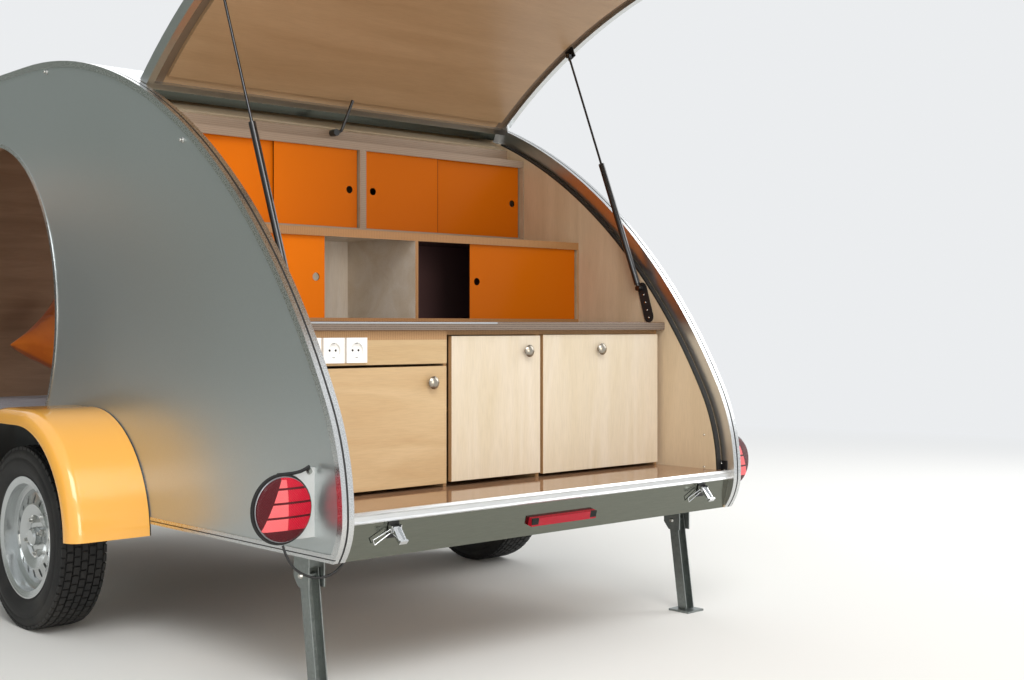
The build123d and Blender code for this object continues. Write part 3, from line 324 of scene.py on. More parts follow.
def zinc_coat(f):
    """Hot-dip galvanised steel: spangles of crystal about 9 mm across."""
    cells = add_node(f.tree, "ShaderNodeTexVoronoi", {"Vector": f.point, "Scale": 110.0})
    spangle = add_node(f.tree, "ShaderNodeRGBToBW", {0: cells.outputs["Color"]}).outputs[0]
    return {"color": shaded(f, srgb("#939997"), remap(f, spangle, to=(0.8, 1.04))), "metallic": 0.95,
            "roughness": remap(f, spangle, to=(0.34, 0.5))}


# %% Where a point lies and a face looks, seen from the side
BODY_MIDDLE = at(0, 1.7, 0.85)


def side_arm(f, centre):
    """The way from a line across the body to the surface."""
    return calc_vector(f, "MULTIPLY", calc_vector(f, "SUBTRACT", f.point, centre), (0, 1, 1))


def looks_out(f, centre):
    """How far a face looks away from a line across the body."""
    return calc_vector(f, "DOT_PRODUCT", side_arm(f, centre), f.facing)


# %% Outer walls
CABIN_WALL = ("#b08e72", "#95765c")
CABIN_START, ROOF_START = 1.212, 1.05   # where the cabin's lining and the roof begin, forward of the corner
SILL_TOP = 0.347
f = start_finish("coated_wall_and_birch_lining")
lining = birch_face(f, "z", "#d3bfa2", "#c6b192")
cabin = birch_face(f, "z", *CABIN_WALL)
edge = where_all(f, between(f, f.nx, *EDGE), between(f, f.across, LEDGE + 0.0005, FAR))
# painted shade: a dark line on the edge profile where its groove lies in shade
edge_groove_shade = where_all(f, edge, between(f, f.across, HALF - 0.0165, HALF - 0.0105))
inner = between(f, f.across, 0.0, LEDGE + 0.0002)
in_cabin = where_all(f, inner, between(f, f.y, REAR + CABIN_START, FAR))
rebate = where_all(f, between(f, f.across, LEDGE - 0.0002, LEDGE + 0.001), between(f, f.z, SILL_TOP, FAR))
roof_seam = where_all(f, between(f, f.nx, *EDGE), between(f, looks_out(f, BODY_MIDDLE), 0.1, FAR),
                      between(f, f.y, REAR + ROOF_START, FAR))
wear(lay_finish(f, coated_sheet(f), (inner, lining), (in_cabin, cabin),
                (rebate, drawn_metal(f, "#cfcdca", 0.3)),
                (roof_seam, drawn_metal(f, "#b4b6b6", 0.3)), (edge, drawn_metal(f, "#d2d4d4", 0.27)),
                (edge_groove_shade, {"color": srgb("#161616"), "roughness": 0.6})), "side_left", "side_right")

# %% Doors, which stand 5 degrees past square
TURN = math.radians(5)
HINGE_OUT, HINGE_Y, FLANGE = 0.014, 2.631, 0.0075
hinge_depth = math.cos(TURN) * (REAR + HINGE_Y) - math.sin(TURN) * (HALF + HINGE_OUT)
f = start_finish("coated_door_and_birch_lining")
out = calc(f, "ADD", calc(f, "MULTIPLY", f.y, math.cos(TURN)), calc(f, "MULTIPLY", f.across, -math.sin(TURN)))
wear(lay_finish(f, coated_sheet(f), (between(f, f.ny, -1.1, 0.5), drawn_metal(f, "#c9cccd", 0.3)),
                (between(f, f.ny, -1.1, -0.5), birch_face(f, "z", *CABIN_WALL)),
                (between(f, out, hinge_depth - FLANGE, FAR), drawn_metal(f, "#c9cccd", 0.28))),
     "door_left", "door_right")

# %% Roof and hatch
HATCH_UP = (0, 0.31, 0.95)
f = start_finish("coated_roof_and_birch_ceiling")
ceiling = between(f, looks_out(f, BODY_MIDDLE), -FAR, -0.05)
wear(lay_finish(f, coated_sheet(f), (ceiling, birch_face(f, "x", *CABIN_WALL))), "roof_shell")

f = start_finish("coated_hatch_and_birch_lining")
inside = between(f, calc_vector(f, "DOT_PRODUCT", f.facing, HATCH_UP), -1.1, 0.3)
border = where_all(f, inside, between(f, f.across, LEDGE - 0.0605, FAR))
wear(lay_finish(f, coated_sheet(f), (inside, birch_face(f, "x", "#ae8e6b", "#9d7d5a", 0.7)),
                (border, {"color": srgb("#6f5d4b"), "roughness": 0.5})), "hatch")

# %% Profiles, rail and apron
ALONG_X = (3.0, 60.0, 60.0)
BLACK_PART = {"color": srgb("#121212"), "roughness": 0.3}
f = start_finish("anodised_profile")
# painted shade: a dark line low on the profile where its groove lies in shade
low_groove_shade = where_all(f, between(f, f.across, HALF - 0.001, FAR), between(f, f.z, 0.3475, 0.3505))
wear(lay_finish(f, drawn_metal(f, "#d2d4d4", 0.27), (low_groove_shade, BLACK_PART)), "edge_trim", "door_hinges")

f = start_finish("anodised_hatch_frame")
rubber_face = where_all(f, between(f, f.across, 0.60, 0.6955), between(f, f.y, -FAR, REAR + 0.90))
wear(lay_finish(f, drawn_metal(f, "#cfd1d1", 0.3), (rubber_face, BLACK_PART)), "hatch_frame")

f = start_finish("bronze_hinge_profile")
wear(lay_finish(f, drawn_metal(f, "#4f524b", 0.2)), "hinge_rail")

f = start_finish("polished_apron_and_sill")
sill = drawn_metal(f, "#e2e3e3", 0.33, 0.04, ALONG_X)
# painted reflection: the apron's polished metal is drawn darker and greener, for mirrored grass
wear(lay_finish(f, drawn_metal(f, "#74776e", 0.13, 0.03, ALONG_X), (between(f, f.z, 0.4302, 0.5), sill)),
     "rear_apron")

# %% [markdown]
# ## Galley boards
# The same birch is cut in different ways. Doors have an upright grain and are pale, the left door and the
# fascia are honey-coloured with the grain lying down, and the carcasses show their plies on the edges that
# face the cook. The ledge and the worktop are film-faced: a smooth brown resin film that mirrors the doors.

# %% Doors with their knobs
GALLEY_FRONT = 0.257


def galley_door(name, along, light, dark):
    """A birch door with plies on its edges and satin nickel on what stands out from it."""
    f = start_finish(name)
    return lay_finish(f, birch_face(f, along, light, dark), (between(f, f.ny, *EDGE), birch_plies(f, f.y)),
                      (between(f, f.y, -FAR, REAR + GALLEY_FRONT - 0.0005), drawn_metal(f, "#a39c90", 0.3)))


wear(galley_door("honey_birch_door", "x", "#c9ad84", "#bb9b70"), "galley_door_left")
wear(galley_door("pale_birch_door", "z", "#dacdb9", "#cfbfa2"), "galley_door_middle", "galley_door_right")

# %% Carcasses
CUT_EDGE = (-1.1, -0.9)   # the facing of an edge that looks at the cook
SHADED_BAY_X, OPEN_X = (-0.0075, 0.600), (-0.349, -0.0135)   # the niche's deep bay, drawn dark as painted shade, and its open one
SHADED_BAY_WALL_X, OPEN_WALL_X = (-0.0075, 0.6965), (-0.6965, -0.0135)
NICHE_Z, WALL_Z = (0.9, 1.1805), (0.918, 1.181)
NICHE_BACK, WORKTOP_STEP = 0.980, 0.6285
# painted shade: the deep bay's inner faces, the wall at its back and the worktop in it are drawn dark, where
# shade falls in the bay
BAY_SHADE = {"color": srgb("#6e5454"), "roughness": 0.22}

f = start_finish("birch_base_cabinet")
fascia = where_all(f, between(f, f.z, 0.8025, 0.8679), between(f, f.x, -0.6795, -0.2055))
wear(lay_finish(f, birch_face(f, "x", "#d5b487", "#c39c6c"),
                (between(f, f.ny, *CUT_EDGE), birch_plies(f, f.x, "#b08a5e", "#8a6340")),
                (fascia, birch_face(f, "x", "#c4a980", "#b6966a"))), "base_cabinet")

f = start_finish("birch_niche_cabinet")
within = where_all(f, between(f, f.ny, -0.9, 1.1), between(f, f.z, *NICHE_Z))
wear(lay_finish(f, birch_face(f, "x", "#cdb592", "#bb9f79"),
                (between(f, f.ny, *CUT_EDGE), birch_plies(f, f.x, "#a67848", "#8b5f36")),
                (where_all(f, within, between(f, f.x, *OPEN_X)), birch_face(f, "x", "#e9dfd0", "#dccdb6")),
                (where_all(f, within, between(f, f.x, *SHADED_BAY_X)), BAY_SHADE)), "niche_cabinet")

# painted shade: the upper cabinet's plies are drawn darker and greyer than the other boards' plies, for the
# shade under the hatch
f = start_finish("birch_upper_cabinet")
wear(lay_finish(f, birch_face(f, "x", "#c4b49b", "#b39f82"),
                (between(f, f.ny, -1.1, -0.98), birch_plies(f, f.z, "#988471", "#7d6a57"))), "upper_cabinet")

f = start_finish("birch_cabin_wall")
behind = where_all(f, between(f, f.z, *WALL_Z),
                   between(f, f.y, REAR + NICHE_BACK - 0.001, REAR + NICHE_BACK + 0.001))
wear(lay_finish(f, birch_face(f, "x", "#d2b68d", "#be9d70"),
                (between(f, f.ny, 0.2, 1.1), birch_face(f, "x", *CABIN_WALL)),
                (where_all(f, behind, between(f, f.x, *SHADED_BAY_WALL_X)), BAY_SHADE),
                (where_all(f, behind, between(f, f.x, *OPEN_WALL_X)),
                 birch_face(f, "z", "#f0e8dc", "#e0d2bf"))), "bulkhead")

# %% Film-faced boards
f = start_finish("film_faced_worktop")
silver = where_all(f, between(f, f.x, -0.70, -0.03), between(f, f.z, 0.912, 0.919),
                   between(f, f.ny, *CUT_EDGE))
under_bay = where_all(f, between(f, f.x, *SHADED_BAY_WALL_X), between(f, f.y, REAR + WORKTOP_STEP, FAR),
                      between(f, f.nz, 0.5, 1.1))
wear(lay_finish(f, {"color": srgb("#5b3a24"), "roughness": 0.16},
                (between(f, f.nz, *EDGE), birch_plies(f, f.z, "#7c6d60", "#3f3026")),
                (silver, drawn_metal(f, "#c8cacb", 0.3)), (under_bay, BAY_SHADE)), "countertop")

f = start_finish("film_faced_floor")
scuffed = remap(f, noise(f, 14.0, 6.0), (0.3, 0.75), (0.05, 0.13))
wear(lay_finish(f, {"color": srgb("#98765b"), "roughness": scuffed},
                (between(f, f.nz, *EDGE), birch_plies(f, f.z))), "floor_deck")

# %% [markdown]
# ## Orange laminate and gel coat
# The sliding panels are 4 mm laminate in a strong orange with a satin face; their colour is darkened towards
# the right as painted shade.
# The fenders are moulded in a yellower orange gel coat with a clear, wet shine. Under them, on the faces that
# look towards the wheel and on the part inboard of the wall, the moulding is drawn near black.

# %% Laminate panels
f = start_finish("orange_laminate", {"Specular IOR Level": 0.08})
peel = noise(f, 160.0)
# painted shade: the orange is darkened towards the right, where the panels lie in the hatch's shade
tone = shaded(f, srgb("#dc7008"), remap(f, f.x, (-0.45, 0.05), (1.0, 0.74)))
seam = where_all(f, between(f, f.x, 0.3070, 0.3095), between(f, f.z, 1.2, 1.5))
laminate = lay_finish(f, {"color": tone, "roughness": remap(f, peel, to=(0.16, 0.24)), "height": peel},
                      (between(f, f.ny, *EDGE), {"color": srgb("#3a1d0c"), "roughness": 0.6}),
                      (seam, {"color": srgb("#5e2c0a"), "roughness": 0.6}), strength=0.05)
wear(laminate, "niche_panel_left", "niche_panel_right", "upper_panel_1", "upper_panel_2", "upper_panel_3",
     "upper_panel_4")

# %% Gel coat fenders
WHEEL_Y = 1.335
f = start_finish("orange_gel_coat", {"Coat Weight": 1.0, "Coat Roughness": 0.04})
hub = at(0, WHEEL_Y, 0.300)
reach = calc_vector(f, "LENGTH", side_arm(f, hub))
# faces that look towards the wheel, and the part inboard of the wall, are drawn near black
under = where_all(f, between(f, looks_out(f, hub), -FAR, -0.02), between(f, reach, 0.318, FAR))
wear(lay_finish(f, {"color": srgb("#f4b149"), "roughness": 0.3},
                (under, {"color": srgb("#1b1917"), "roughness": 0.75}),
                (between(f, f.across, 0.0, HALF + 0.004), {"color": srgb("#15120f"), "roughness": 0.6})),
     "fenders")


# %% Plastics and rubber
def rubber(name, tone="#141414", gloss=0.62, grit=420.0):
    """Moulded rubber with a fine grain."""
    f = start_finish(name)
    grain = noise(f, grit)
    return lay_finish(f, {"color": srgb(tone), "roughness": remap(f, grain, to=(gloss - 0.08, gloss + 0.1)),
                          "height": grain})


wear(paint("white_moulded_plastic", "#f0f0ee", 0.28), "sockets")
wear(rubber("rubber_bulb_seal", "#101010", 0.45), "hatch_seal")
wear(rubber("moulded_rubber_ring"), "lamp_rings")
flex_sheath = rubber("pvc_cable_sheath", "#0f0f10", 0.4, 900.0)

# %% Black enamel and bright rods
wear(paint("black_enamel", "#0d0d0e", 0.28, shader_inputs={"Coat Weight": 0.4}),
     "strut_tube_left", "strut_tube_right", "galley_lamp")
wear(paint("black_passivated_steel", "#1b1b1c", 0.55), "wall_brackets")
f = start_finish("chromed_rod")
wear(lay_finish(f, drawn_metal(f, "#4a4b4d", 0.2, 0.03)), "strut_rod_left", "strut_rod_right")

# %% Galvanised running gear
f = start_finish("galvanised_steel")
wear(lay_finish(f, zinc_coat(f)), "axle", "chassis", "drawbar", "coupling", "jockey_leg", "jockey_fork",
     "steady_left", "steady_right")

f = start_finish("galvanised_clamp_with_grip")
grip = where_all(f, between(f, f.y, REAR + 3.603, REAR + 3.629), between(f, f.z, 0.7595, 0.81))
wear(lay_finish(f, zinc_coat(f), (grip, BLACK_PART)), "jockey_clamp")

f = start_finish("jockey_tyre_and_hub")
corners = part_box("jockey_wheel")
disc = between(f, calc_vector(f, "LENGTH", side_arm(f, (corners[0] + corners[1]) / 2)), 0.0, 0.068)
wear(lay_finish(f, {"color": srgb("#151515"), "roughness": 0.68}, (disc, zinc_coat(f))), "jockey_wheel")

# %% Lamp plates and latches
ON_APRON, APRON_FACING = at(0, 0, 0.430), (0, -0.9716, -0.2368)
f = start_finish("bright_aluminium_plate")
wear(lay_finish(f, {**drawn_metal(f, "#e2e4e4", 0.3), "metallic": 0.55}), "lamp_plates")

f = start_finish("chromed_latch")
stand_off = calc_vector(f, "DOT_PRODUCT", calc_vector(f, "SUBTRACT", f.point, ON_APRON), APRON_FACING)
wear(lay_finish(f, drawn_metal(f, "#d9dbdc", 0.14, 0.04), (between(f, stand_off, -0.01, 0.0032), BLACK_PART)),
     "latches")

# %% [markdown]
# ## Red lenses
# A lens is red acrylic over a reflector that lies back in the lamp. From behind, its lower part and its outer
# side look deep red, the reflector shows pale behind them as a painted reflection, ribs cross it, and the
# inside is cut in small facets. Two crossed waves stand for the facets in the relief, and in the colour as
# painted light and shade on them.

# %% Lens shader
LAMP_OUT, LAMP_Y, LAMP_Z = 0.098, 0.098, 0.472   # the lens's centre: out from the wall, forward, and up
RIB_PITCH, FACET = 0.0335, 0.0064
REFLECTOR_Z = (-0.049, 0.071)
f = start_finish("red_acrylic_lens", {"Coat Weight": 0.12, "Coat Roughness": 0.05, "Specular IOR Level": 0.2})
outward = calc(f, "SUBTRACT", f.across, HALF + LAMP_OUT)
raised = calc(f, "SUBTRACT", f.z, LAMP_Z)
slant = remap(f, raised, REFLECTOR_Z, (0.065, 0.010))
# painted reflection: the reflector's place behind the lens is drawn pale, for the light that it mirrors
painted_reflector_shine = where_all(f, calc(f, "LESS_THAN", outward, slant), between(f, outward, -0.004, 0.09),
                   between(f, raised, *REFLECTOR_Z))
deep = calc(f, "MAXIMUM", calc(f, "GREATER_THAN", outward, slant), between(f, raised, -0.09, REFLECTOR_Z[0]))
rib = between(f, calc(f, "FRACT", calc(f, "ADD", calc(f, "MULTIPLY", raised, 1 / RIB_PITCH), 0.1)), 0.5, 0.66)
waves = [calc(f, "SINE", calc(f, "MULTIPLY", axis, 2 * math.pi / FACET)) for axis in (f.z, f.x)]
facets = calc(f, "MULTIPLY", *waves)
# painted light and shade: the red is lightened and darkened with the facets' waves
facet_shaded_red = shaded(f, srgb("#c4122e"), remap(f, facets, (-1.0, 1.0), (0.45, 1.4)))
third = where_all(f, between(f, f.across, 0.0, 0.13), between(f, f.y, -FAR, REAR + 0.03))
cap = where_all(f, between(f, f.across, 0.1, 0.13), between(f, f.y, -FAR, REAR))
reds = [(mask, {"roughness": 0.16, "height": facets, "color": srgb(tone)})
        for mask, tone in ((deep, "#4e0812"), (painted_reflector_shine, "#f0686c"), (rib, "#4e0812"), (third, "#a60d24"))]
wear(lay_finish(f, {"roughness": 0.16, "height": facets, "color": facet_shaded_red}, *reds, (cap, BLACK_PART)),
     "lamp_lenses")

# %% Windows
wear(paint("smoked_acrylic", "#6f7375", 0.02, shader_inputs={"Transmission Weight": 0.85, "IOR": 1.49}),
     "pane_left", "pane_right")

# %% [markdown]
# ## Wheels
# The tyre is a lathe-turned carcass with blocks of tread. The carcass is a profile spun round the axle. The
# blocks repeat, so Geometry Nodes set one block round a circle, row by row: a row's radius, count and size
# are named inputs. The steel rim is the CAD solid; its nuts are set on a circle by the same tree.

# %% Trees that set copies
def start_tree(name, **kinds):
    """A geometry tree with named inputs, and the sockets that bring them in."""
    tree = bpy.data.node_groups.new(name, "GeometryNodeTree")
    tree.interface.new_socket(name="Geometry", in_out="OUTPUT", socket_type="NodeSocketGeometry")
    for key, kind in kinds.items():
        tree.interface.new_socket(name=key, in_out="INPUT", socket_type=f"NodeSocket{kind}")
    return tree, add_node(tree, "NodeGroupInput").outputs


def end_tree(tree, copies, material):
    """Makes the copies real, gives them their material and hands them out."""
    real = add_node(tree, "GeometryNodeRealizeInstances", {0: copies})
    skin = add_node(tree, "GeometryNodeSetMaterial", {"Geometry": real.outputs[0], "Material": material})
    add_node(tree, "NodeGroupOutput", {0: skin.outputs[0]})
    return tree


def ring_tree():
    """Sets a mesh round a circle."""
    tree, given = start_tree("set_round_a_circle", Geometry="Geometry", Count="Int", Radius="Float",
                             Turn="Float", Material="Material")
    circle = add_node(tree, "GeometryNodeMeshCircle", {"Vertices": given["Count"], "Radius": given["Radius"]})
    place = add_node(tree, "GeometryNodeInputPosition").outputs[0]
    aim = add_node(tree, "FunctionNodeAlignRotationToVector", {"Vector": place}, axis="X", pivot_axis="Z")
    laid = add_node(tree, "GeometryNodeInstanceOnPoints",
                    {"Points": circle.outputs[0], "Instance": given["Geometry"], "Rotation": aim.outputs[0]})
    spin = add_node(tree, "ShaderNodeCombineXYZ", {"Z": given["Turn"]}).outputs[0]
    turned = add_node(tree, "GeometryNodeTransform", {"Geometry": laid.outputs[0], "Rotation": spin})
    return end_tree(tree, turned.outputs[0], given["Material"])


RING = ring_tree()
print("inputs:", [s.name for s in RING.interface.items_tree if s.in_out == "INPUT"])


# %% Mesh helpers
def baked(made):
    """The plain mesh that an object's modifiers or its curve give."""
    bpy.context.view_layer.update()
    return bpy.data.meshes.new_from_object(made.evaluated_get(bpy.context.evaluated_depsgraph_get()))


def grow(tree, source, sizes):
    """Runs a tree on a mesh with the given named sizes, and returns the plain mesh that comes out."""
    seed = put_in("seed", source)
    modifier = seed.modifiers.new("grow", "NODES")
    modifier.node_group = tree
    for socket in tree.interface.items_tree:
        if socket.in_out == "INPUT" and socket.name in sizes:
            modifier[socket.identifier] = sizes[socket.name]
    grown = baked(seed)
    seed.modifiers.remove(modifier)
    bpy.data.objects.remove(seed)
    return grown


# %% Pieces
def cast(shape, name, mat=None):
    """Turns a working shape into a mesh of one material."""
    data = bpy.data.meshes.new(name)
    shape.to_mesh(data)
    shape.free()
    if mat:
        data.materials.append(mat)
    return data


def piece(name, meshes, body="trailer"):
    """One object of several meshes, in place, that rides on a body."""
    joined = bmesh.new()
    finishes = []
    for mesh in meshes:
        for mat in mesh.materials:
            if mat not in finishes:
                finishes.append(mat)
        before = len(joined.faces)
        joined.from_mesh(mesh)
        joined.faces.ensure_lookup_table()
        for face in joined.faces[before:]:
            face.material_index = finishes.index(mesh.materials[face.material_index])
    data = cast(joined, name)
    for mat in finishes:
        data.materials.append(mat)
    made = put_in(name, data)
    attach(made, body)
    print(name, len(data.polygons), "faces")
    return made


# %% Blocks and turned shapes
def block(low, high, mat, narrow=0.0):
    """A block between two corners; narrow draws its upper x face in by that much."""
    shape = bmesh.new()
    bmesh.ops.create_cube(shape, size=1.0)
    low, high = Vector(low), Vector(high)
    for v in shape.verts:
        inset = narrow if v.co.x > 0 else 0.0
        spot = Vector([low[i] + (v.co[i] + 0.5) * (high[i] - low[i]) for i in range(3)])
        spot.y -= math.copysign(inset, v.co.y)
        spot.z -= math.copysign(inset, v.co.z)
        v.co = spot
    return cast(shape, "block", mat)


def lathe(profile, steps, mat):
    """Spins a closed profile of (along, radius) points about the x axis."""
    shape = bmesh.new()
    rows = []
    for i in range(steps):
        a = 2 * math.pi * i / steps
        rows.append([shape.verts.new((x, r * math.cos(a), r * math.sin(a))) for x, r in profile])
    for i in range(steps):
        one, two = rows[i], rows[(i + 1) % steps]
        for j in range(len(profile)):
            k = (j + 1) % len(profile)
            shape.faces.new((one[j], two[j], two[k], one[k]))
    bmesh.ops.remove_doubles(shape, verts=shape.verts[:], dist=1e-6)
    bmesh.ops.recalc_face_normals(shape, faces=shape.faces[:])
    for face in shape.faces:
        face.smooth = True
    return cast(shape, "lathe", mat)


# %% Tyre rubber
f = start_finish("tyre_rubber")
dusty = blend(f, remap(f, noise(f, 9.0, 5.0), (0.45, 0.75)), srgb("#161616"), srgb("#2c2a27"))
tyre_rubber = lay_finish(f, {"color": dusty, "roughness": 0.66, "height": noise(f, 260.0, 3.0)})

# %% Tyres
AXLE = at(0, WHEEL_Y, 0.2735)
TRACK = HALF + 0.128
CARCASS_RADIUS = 0.2625
LUGS, LUG_HALF, LUG_TAPER = 60, 0.0122, 0.0008
WALL = [(0.058, 0.1665), (0.061, 0.172), (0.0600, 0.1840), (0.0672, 0.1930), (0.0730, 0.2020),
        (0.0762, 0.2150), (0.0765, 0.2250), (0.0757, 0.2350), (0.0742, 0.2358), (0.0736, 0.2420),
        (0.0746, 0.2428), (0.0712, 0.2560), (0.0660, 0.2640), (0.0560, 0.2672), (0.0352, 0.2675),
        (0.0345, 0.2660), (0.0320, 0.2660), (0.0312, 0.2675), (0.0130, 0.2675), (0.0122, 0.2660),
        (0.0098, 0.2660), (0.0090, 0.2675)]
# Each row of lugs: its place across the tyre, its width, its radius and its shift in parts of a pitch.
ROWS = ((0.0, 0.018, 0.2735, 0.0), (0.0225, 0.019, 0.2735, 0.5), (-0.0225, 0.019, 0.2735, 0.5),
        (0.0450, 0.019, 0.2733, 0.0), (-0.0450, 0.019, 0.2733, 0.0), (0.0630, 0.011, 0.2712, 0.5),
        (-0.0630, 0.011, 0.2712, 0.5))
for name, s in (("left", -1), ("right", 1)):
    parts = [lathe(WALL + [(-x, r) for x, r in reversed(WALL)], 120, tyre_rubber)]
    for offset, wide, radius, shift in ROWS:
        lug = block((CARCASS_RADIUS - radius, -LUG_HALF, offset - wide / 2), (0, LUG_HALF, offset + wide / 2),
                    tyre_rubber, LUG_TAPER)
        ring = grow(RING, lug, {"Count": LUGS, "Radius": radius, "Turn": shift * 2 * math.pi / LUGS,
                                "Material": tyre_rubber})
        ring.transform(Matrix.Rotation(math.pi / 2, 4, "Y"))
        parts.append(ring)
    for mesh in parts:
        mesh.transform(Matrix.Translation(AXLE + Vector((s * TRACK, 0, 0))))
    tread = piece(f"tread_{name}", parts, f"wheel_{name}")
    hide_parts(f"tyre_{name}")

# %% Rims and nuts
NUT_RADIUS, NUT_DEPTH, NUT_CIRCLE, NUT_SEAT = 0.0105, 0.014, 0.050, 0.028
f = start_finish("silver_enamelled_steel", {"Coat Weight": 0.5})
wear(lay_finish(f, {**drawn_metal(f, "#c4c8c8", 0.22, 0.04), "metallic": 0.85}), "rim_left", "rim_right")
f = start_finish("zinc_plated_nut")
nut_zinc = lay_finish(f, drawn_metal(f, "#c2c2bd", 0.24))
for name, s in (("left", -1), ("right", 1)):
    nut = bmesh.new()
    bmesh.ops.create_cone(nut, cap_ends=True, segments=6, radius1=NUT_RADIUS, radius2=NUT_RADIUS,
                          depth=NUT_DEPTH)
    bmesh.ops.create_cone(nut, cap_ends=True, segments=10, radius1=0.0062, radius2=0.0045, depth=0.010,
                          matrix=Matrix.Translation((0, 0, 0.011)))
    nuts = grow(RING, cast(nut, "nut", nut_zinc), {"Count": 4, "Radius": NUT_CIRCLE, "Turn": 0.3,
                                                   "Material": nut_zinc})
    nuts.transform(Matrix.Rotation(math.pi / 2 * s, 4, "Y"))
    nuts.transform(Matrix.Translation(AXLE + Vector((s * (TRACK + NUT_SEAT), 0, 0))))
    piece(f"wheel_nuts_{name}", [nuts], f"wheel_{name}")

# %% [markdown]
# ## Screws
# Every fitting is held by small pan-head screws. They repeat, so one tree sets a head on each of a cloud of
# points and turns it along the direction stored with the point. The screws of one size are one piece.

# %% Screw heads on points
HEAD_TAPER = 0.62


def screw_tree():
    """Sets a screw head on each point of a cloud."""
    tree, given = start_tree("set_screw_heads", Geometry="Geometry",
                             **{"Head Radius": "Float", "Head Height": "Float", "Material": "Material"})
    small = add_node(tree, "ShaderNodeMath", {0: given["Head Radius"], 1: HEAD_TAPER},
                     operation="MULTIPLY").outputs[0]
    head = add_node(tree, "GeometryNodeMeshCone",
                    {"Vertices": 12, "Radius Top": small, "Fill Segments": 1,
                     "Radius Bottom": given["Head Radius"], "Depth": given["Head Height"]})
    way = add_node(tree, "GeometryNodeInputNamedAttribute", {"Name": "way"}, data_type="FLOAT_VECTOR")
    aim = add_node(tree, "FunctionNodeAlignRotationToVector", {"Vector": way.outputs[0]}, axis="Z")
    laid = add_node(tree, "GeometryNodeInstanceOnPoints",
                    {"Points": given["Geometry"], "Instance": head.outputs[0], "Rotation": aim.outputs[0]})
    return end_tree(tree, laid.outputs[0], given["Material"])


SCREWS = screw_tree()


def screws(name, spots, radius, height):
    """Screw heads at points, each with the direction that it faces."""
    cloud = bpy.data.meshes.new("cloud")
    cloud.from_pydata([p for p, way in spots], [], [])
    ways = cloud.attributes.new("way", "FLOAT_VECTOR", "POINT")
    ways.data.foreach_set("vector", [c for p, way in spots for c in way])
    heads = grow(SCREWS, cloud, {"Head Radius": radius, "Head Height": height, "Material": nut_zinc})
    return piece(name, [heads])


# %% Screws in the struts' wall plates and the linings
LINING_X, LINING_Y = 0.6995, 0.078
PLATE_X, PLATE_Y, PLATE_Z, PLATE_LEAN = 0.697, 0.335, 1.030, math.radians(17)
spots = []
for s in (-1, 1):
    for along in (-0.1005, -0.0745, -0.0485, -0.0225):
        spots.append((at(s * PLATE_X, PLATE_Y + math.sin(PLATE_LEAN) * along,
                         PLATE_Z + math.cos(PLATE_LEAN) * along), (-s, 0, 0)))
    for z in (0.463, 0.564):
        spots.append((at(s * LINING_X, LINING_Y, z), (-s, 0, 0)))
screws("body_screws", spots, 0.0035, 0.002)

# %% Bolts of the legs and the lamps
LEG_X, LEG_BOLT_Y, LEG_BOLT_Z, CHEEK = 0.706, 0.195, 0.285, 0.0255
spots = []
for s in (-1, 1):
    for side in (-1, 1):
        spots.append((at(s * LEG_X + side * CHEEK, LEG_BOLT_Y, LEG_BOLT_Z), (side, 0, 0)))
    spots.append((at(s * (HALF + 0.016), LAMP_Y - 0.001, LAMP_Z + 0.084), (0, -1, 0)))
screws("leg_and_lamp_bolts", spots, 0.0085, 0.006)

# %% [markdown]
# ## Small fittings
# The seal ends in a screwed stop at each side of the sill. Two eyelet studs stand on each wall. A black bead
# runs along the top of each lamp's plate, and a grey bezel lies between lens and rubber ring.

# %% Stops at the seal's ends, eyelet studs and the lamps' beads
STOP_FACE, STOP_BACK = LEDGE - 0.003, LEDGE + 0.0005
EYELETS = ((1.608, 1.728), (0.731, 1.419))
STUD = [(0.0, 0.0), (0.0, 0.008), (0.0018, 0.008), (0.0024, 0.0035), (0.0045, 0.003), (0.006, 0.0045),
        (0.0085, 0.0052), (0.011, 0.0042), (0.012, 0.0)]
BEAD = ((0.010, 0.082), (-0.018, 0.082), (-0.045, 0.0835), (-0.066, 0.0885), (-0.080, 0.096))
nylon = paint("black_moulded_nylon", "#131314", 0.4)


def bent_tube(points, radius, mat):
    """A round tube along a smooth curve through a few points."""
    tube = round_line("bent_tube", points, radius, 3, 6)
    data = baked(tube)
    bpy.data.objects.remove(tube)
    data.materials.append(mat)
    for face in data.polygons:
        face.use_smooth = True
    return data


stops, studs, beads = [], [], []
for s in (-1, 1):
    near, far = sorted((s * STOP_FACE, s * STOP_BACK))
    stops.append(block(at(near, 0.006, 0.448), at(far, 0.038, 0.486), nylon))
    for y, z in EYELETS:
        stud = lathe(STUD, 16, nut_zinc)
        if s < 0:
            stud.transform(Matrix.Rotation(math.pi, 4, "Z"))
        stud.transform(Matrix.Translation(at(s * (HALF + 0.0005), y, z)))
        studs.append(stud)
    lamp = at(s * (HALF + LAMP_OUT), LAMP_Y - 0.004, LAMP_Z)
    beads.append(bent_tube([lamp + Vector((s * u, 0, w)) for u, w in BEAD], 0.0042, nylon))
piece("seal_stops", stops)
piece("eyelet_studs", studs)
piece("lamp_beads", beads)
screws("stop_screws", [(at(s * STOP_FACE, y, z), (-s, 0, 0)) for s in (-1, 1)
                       for y, z in ((0.016, 0.457), (0.028, 0.477))], 0.003, 0.0012)

# %% Bezels between lens and ring
BEZEL = [(0.0, 0.0742), (0.0, 0.0782), (0.003, 0.0782), (0.003, 0.0742)]
bezel_grey = paint("grey_lens_bezel", "#8d8e92", 0.35, 0.6)
bezels = []
for s in (-1, 1):
    bezel = lathe(BEZEL, 64, bezel_grey)
    bezel.transform(Matrix.Rotation(-math.pi / 2, 4, "Z"))
    bezel.transform(Matrix.Translation(at(s * (HALF + LAMP_OUT), LAMP_Y - 0.0105, LAMP_Z)))
    bezels.append(bezel)
piece("lens_bezels", bezels)
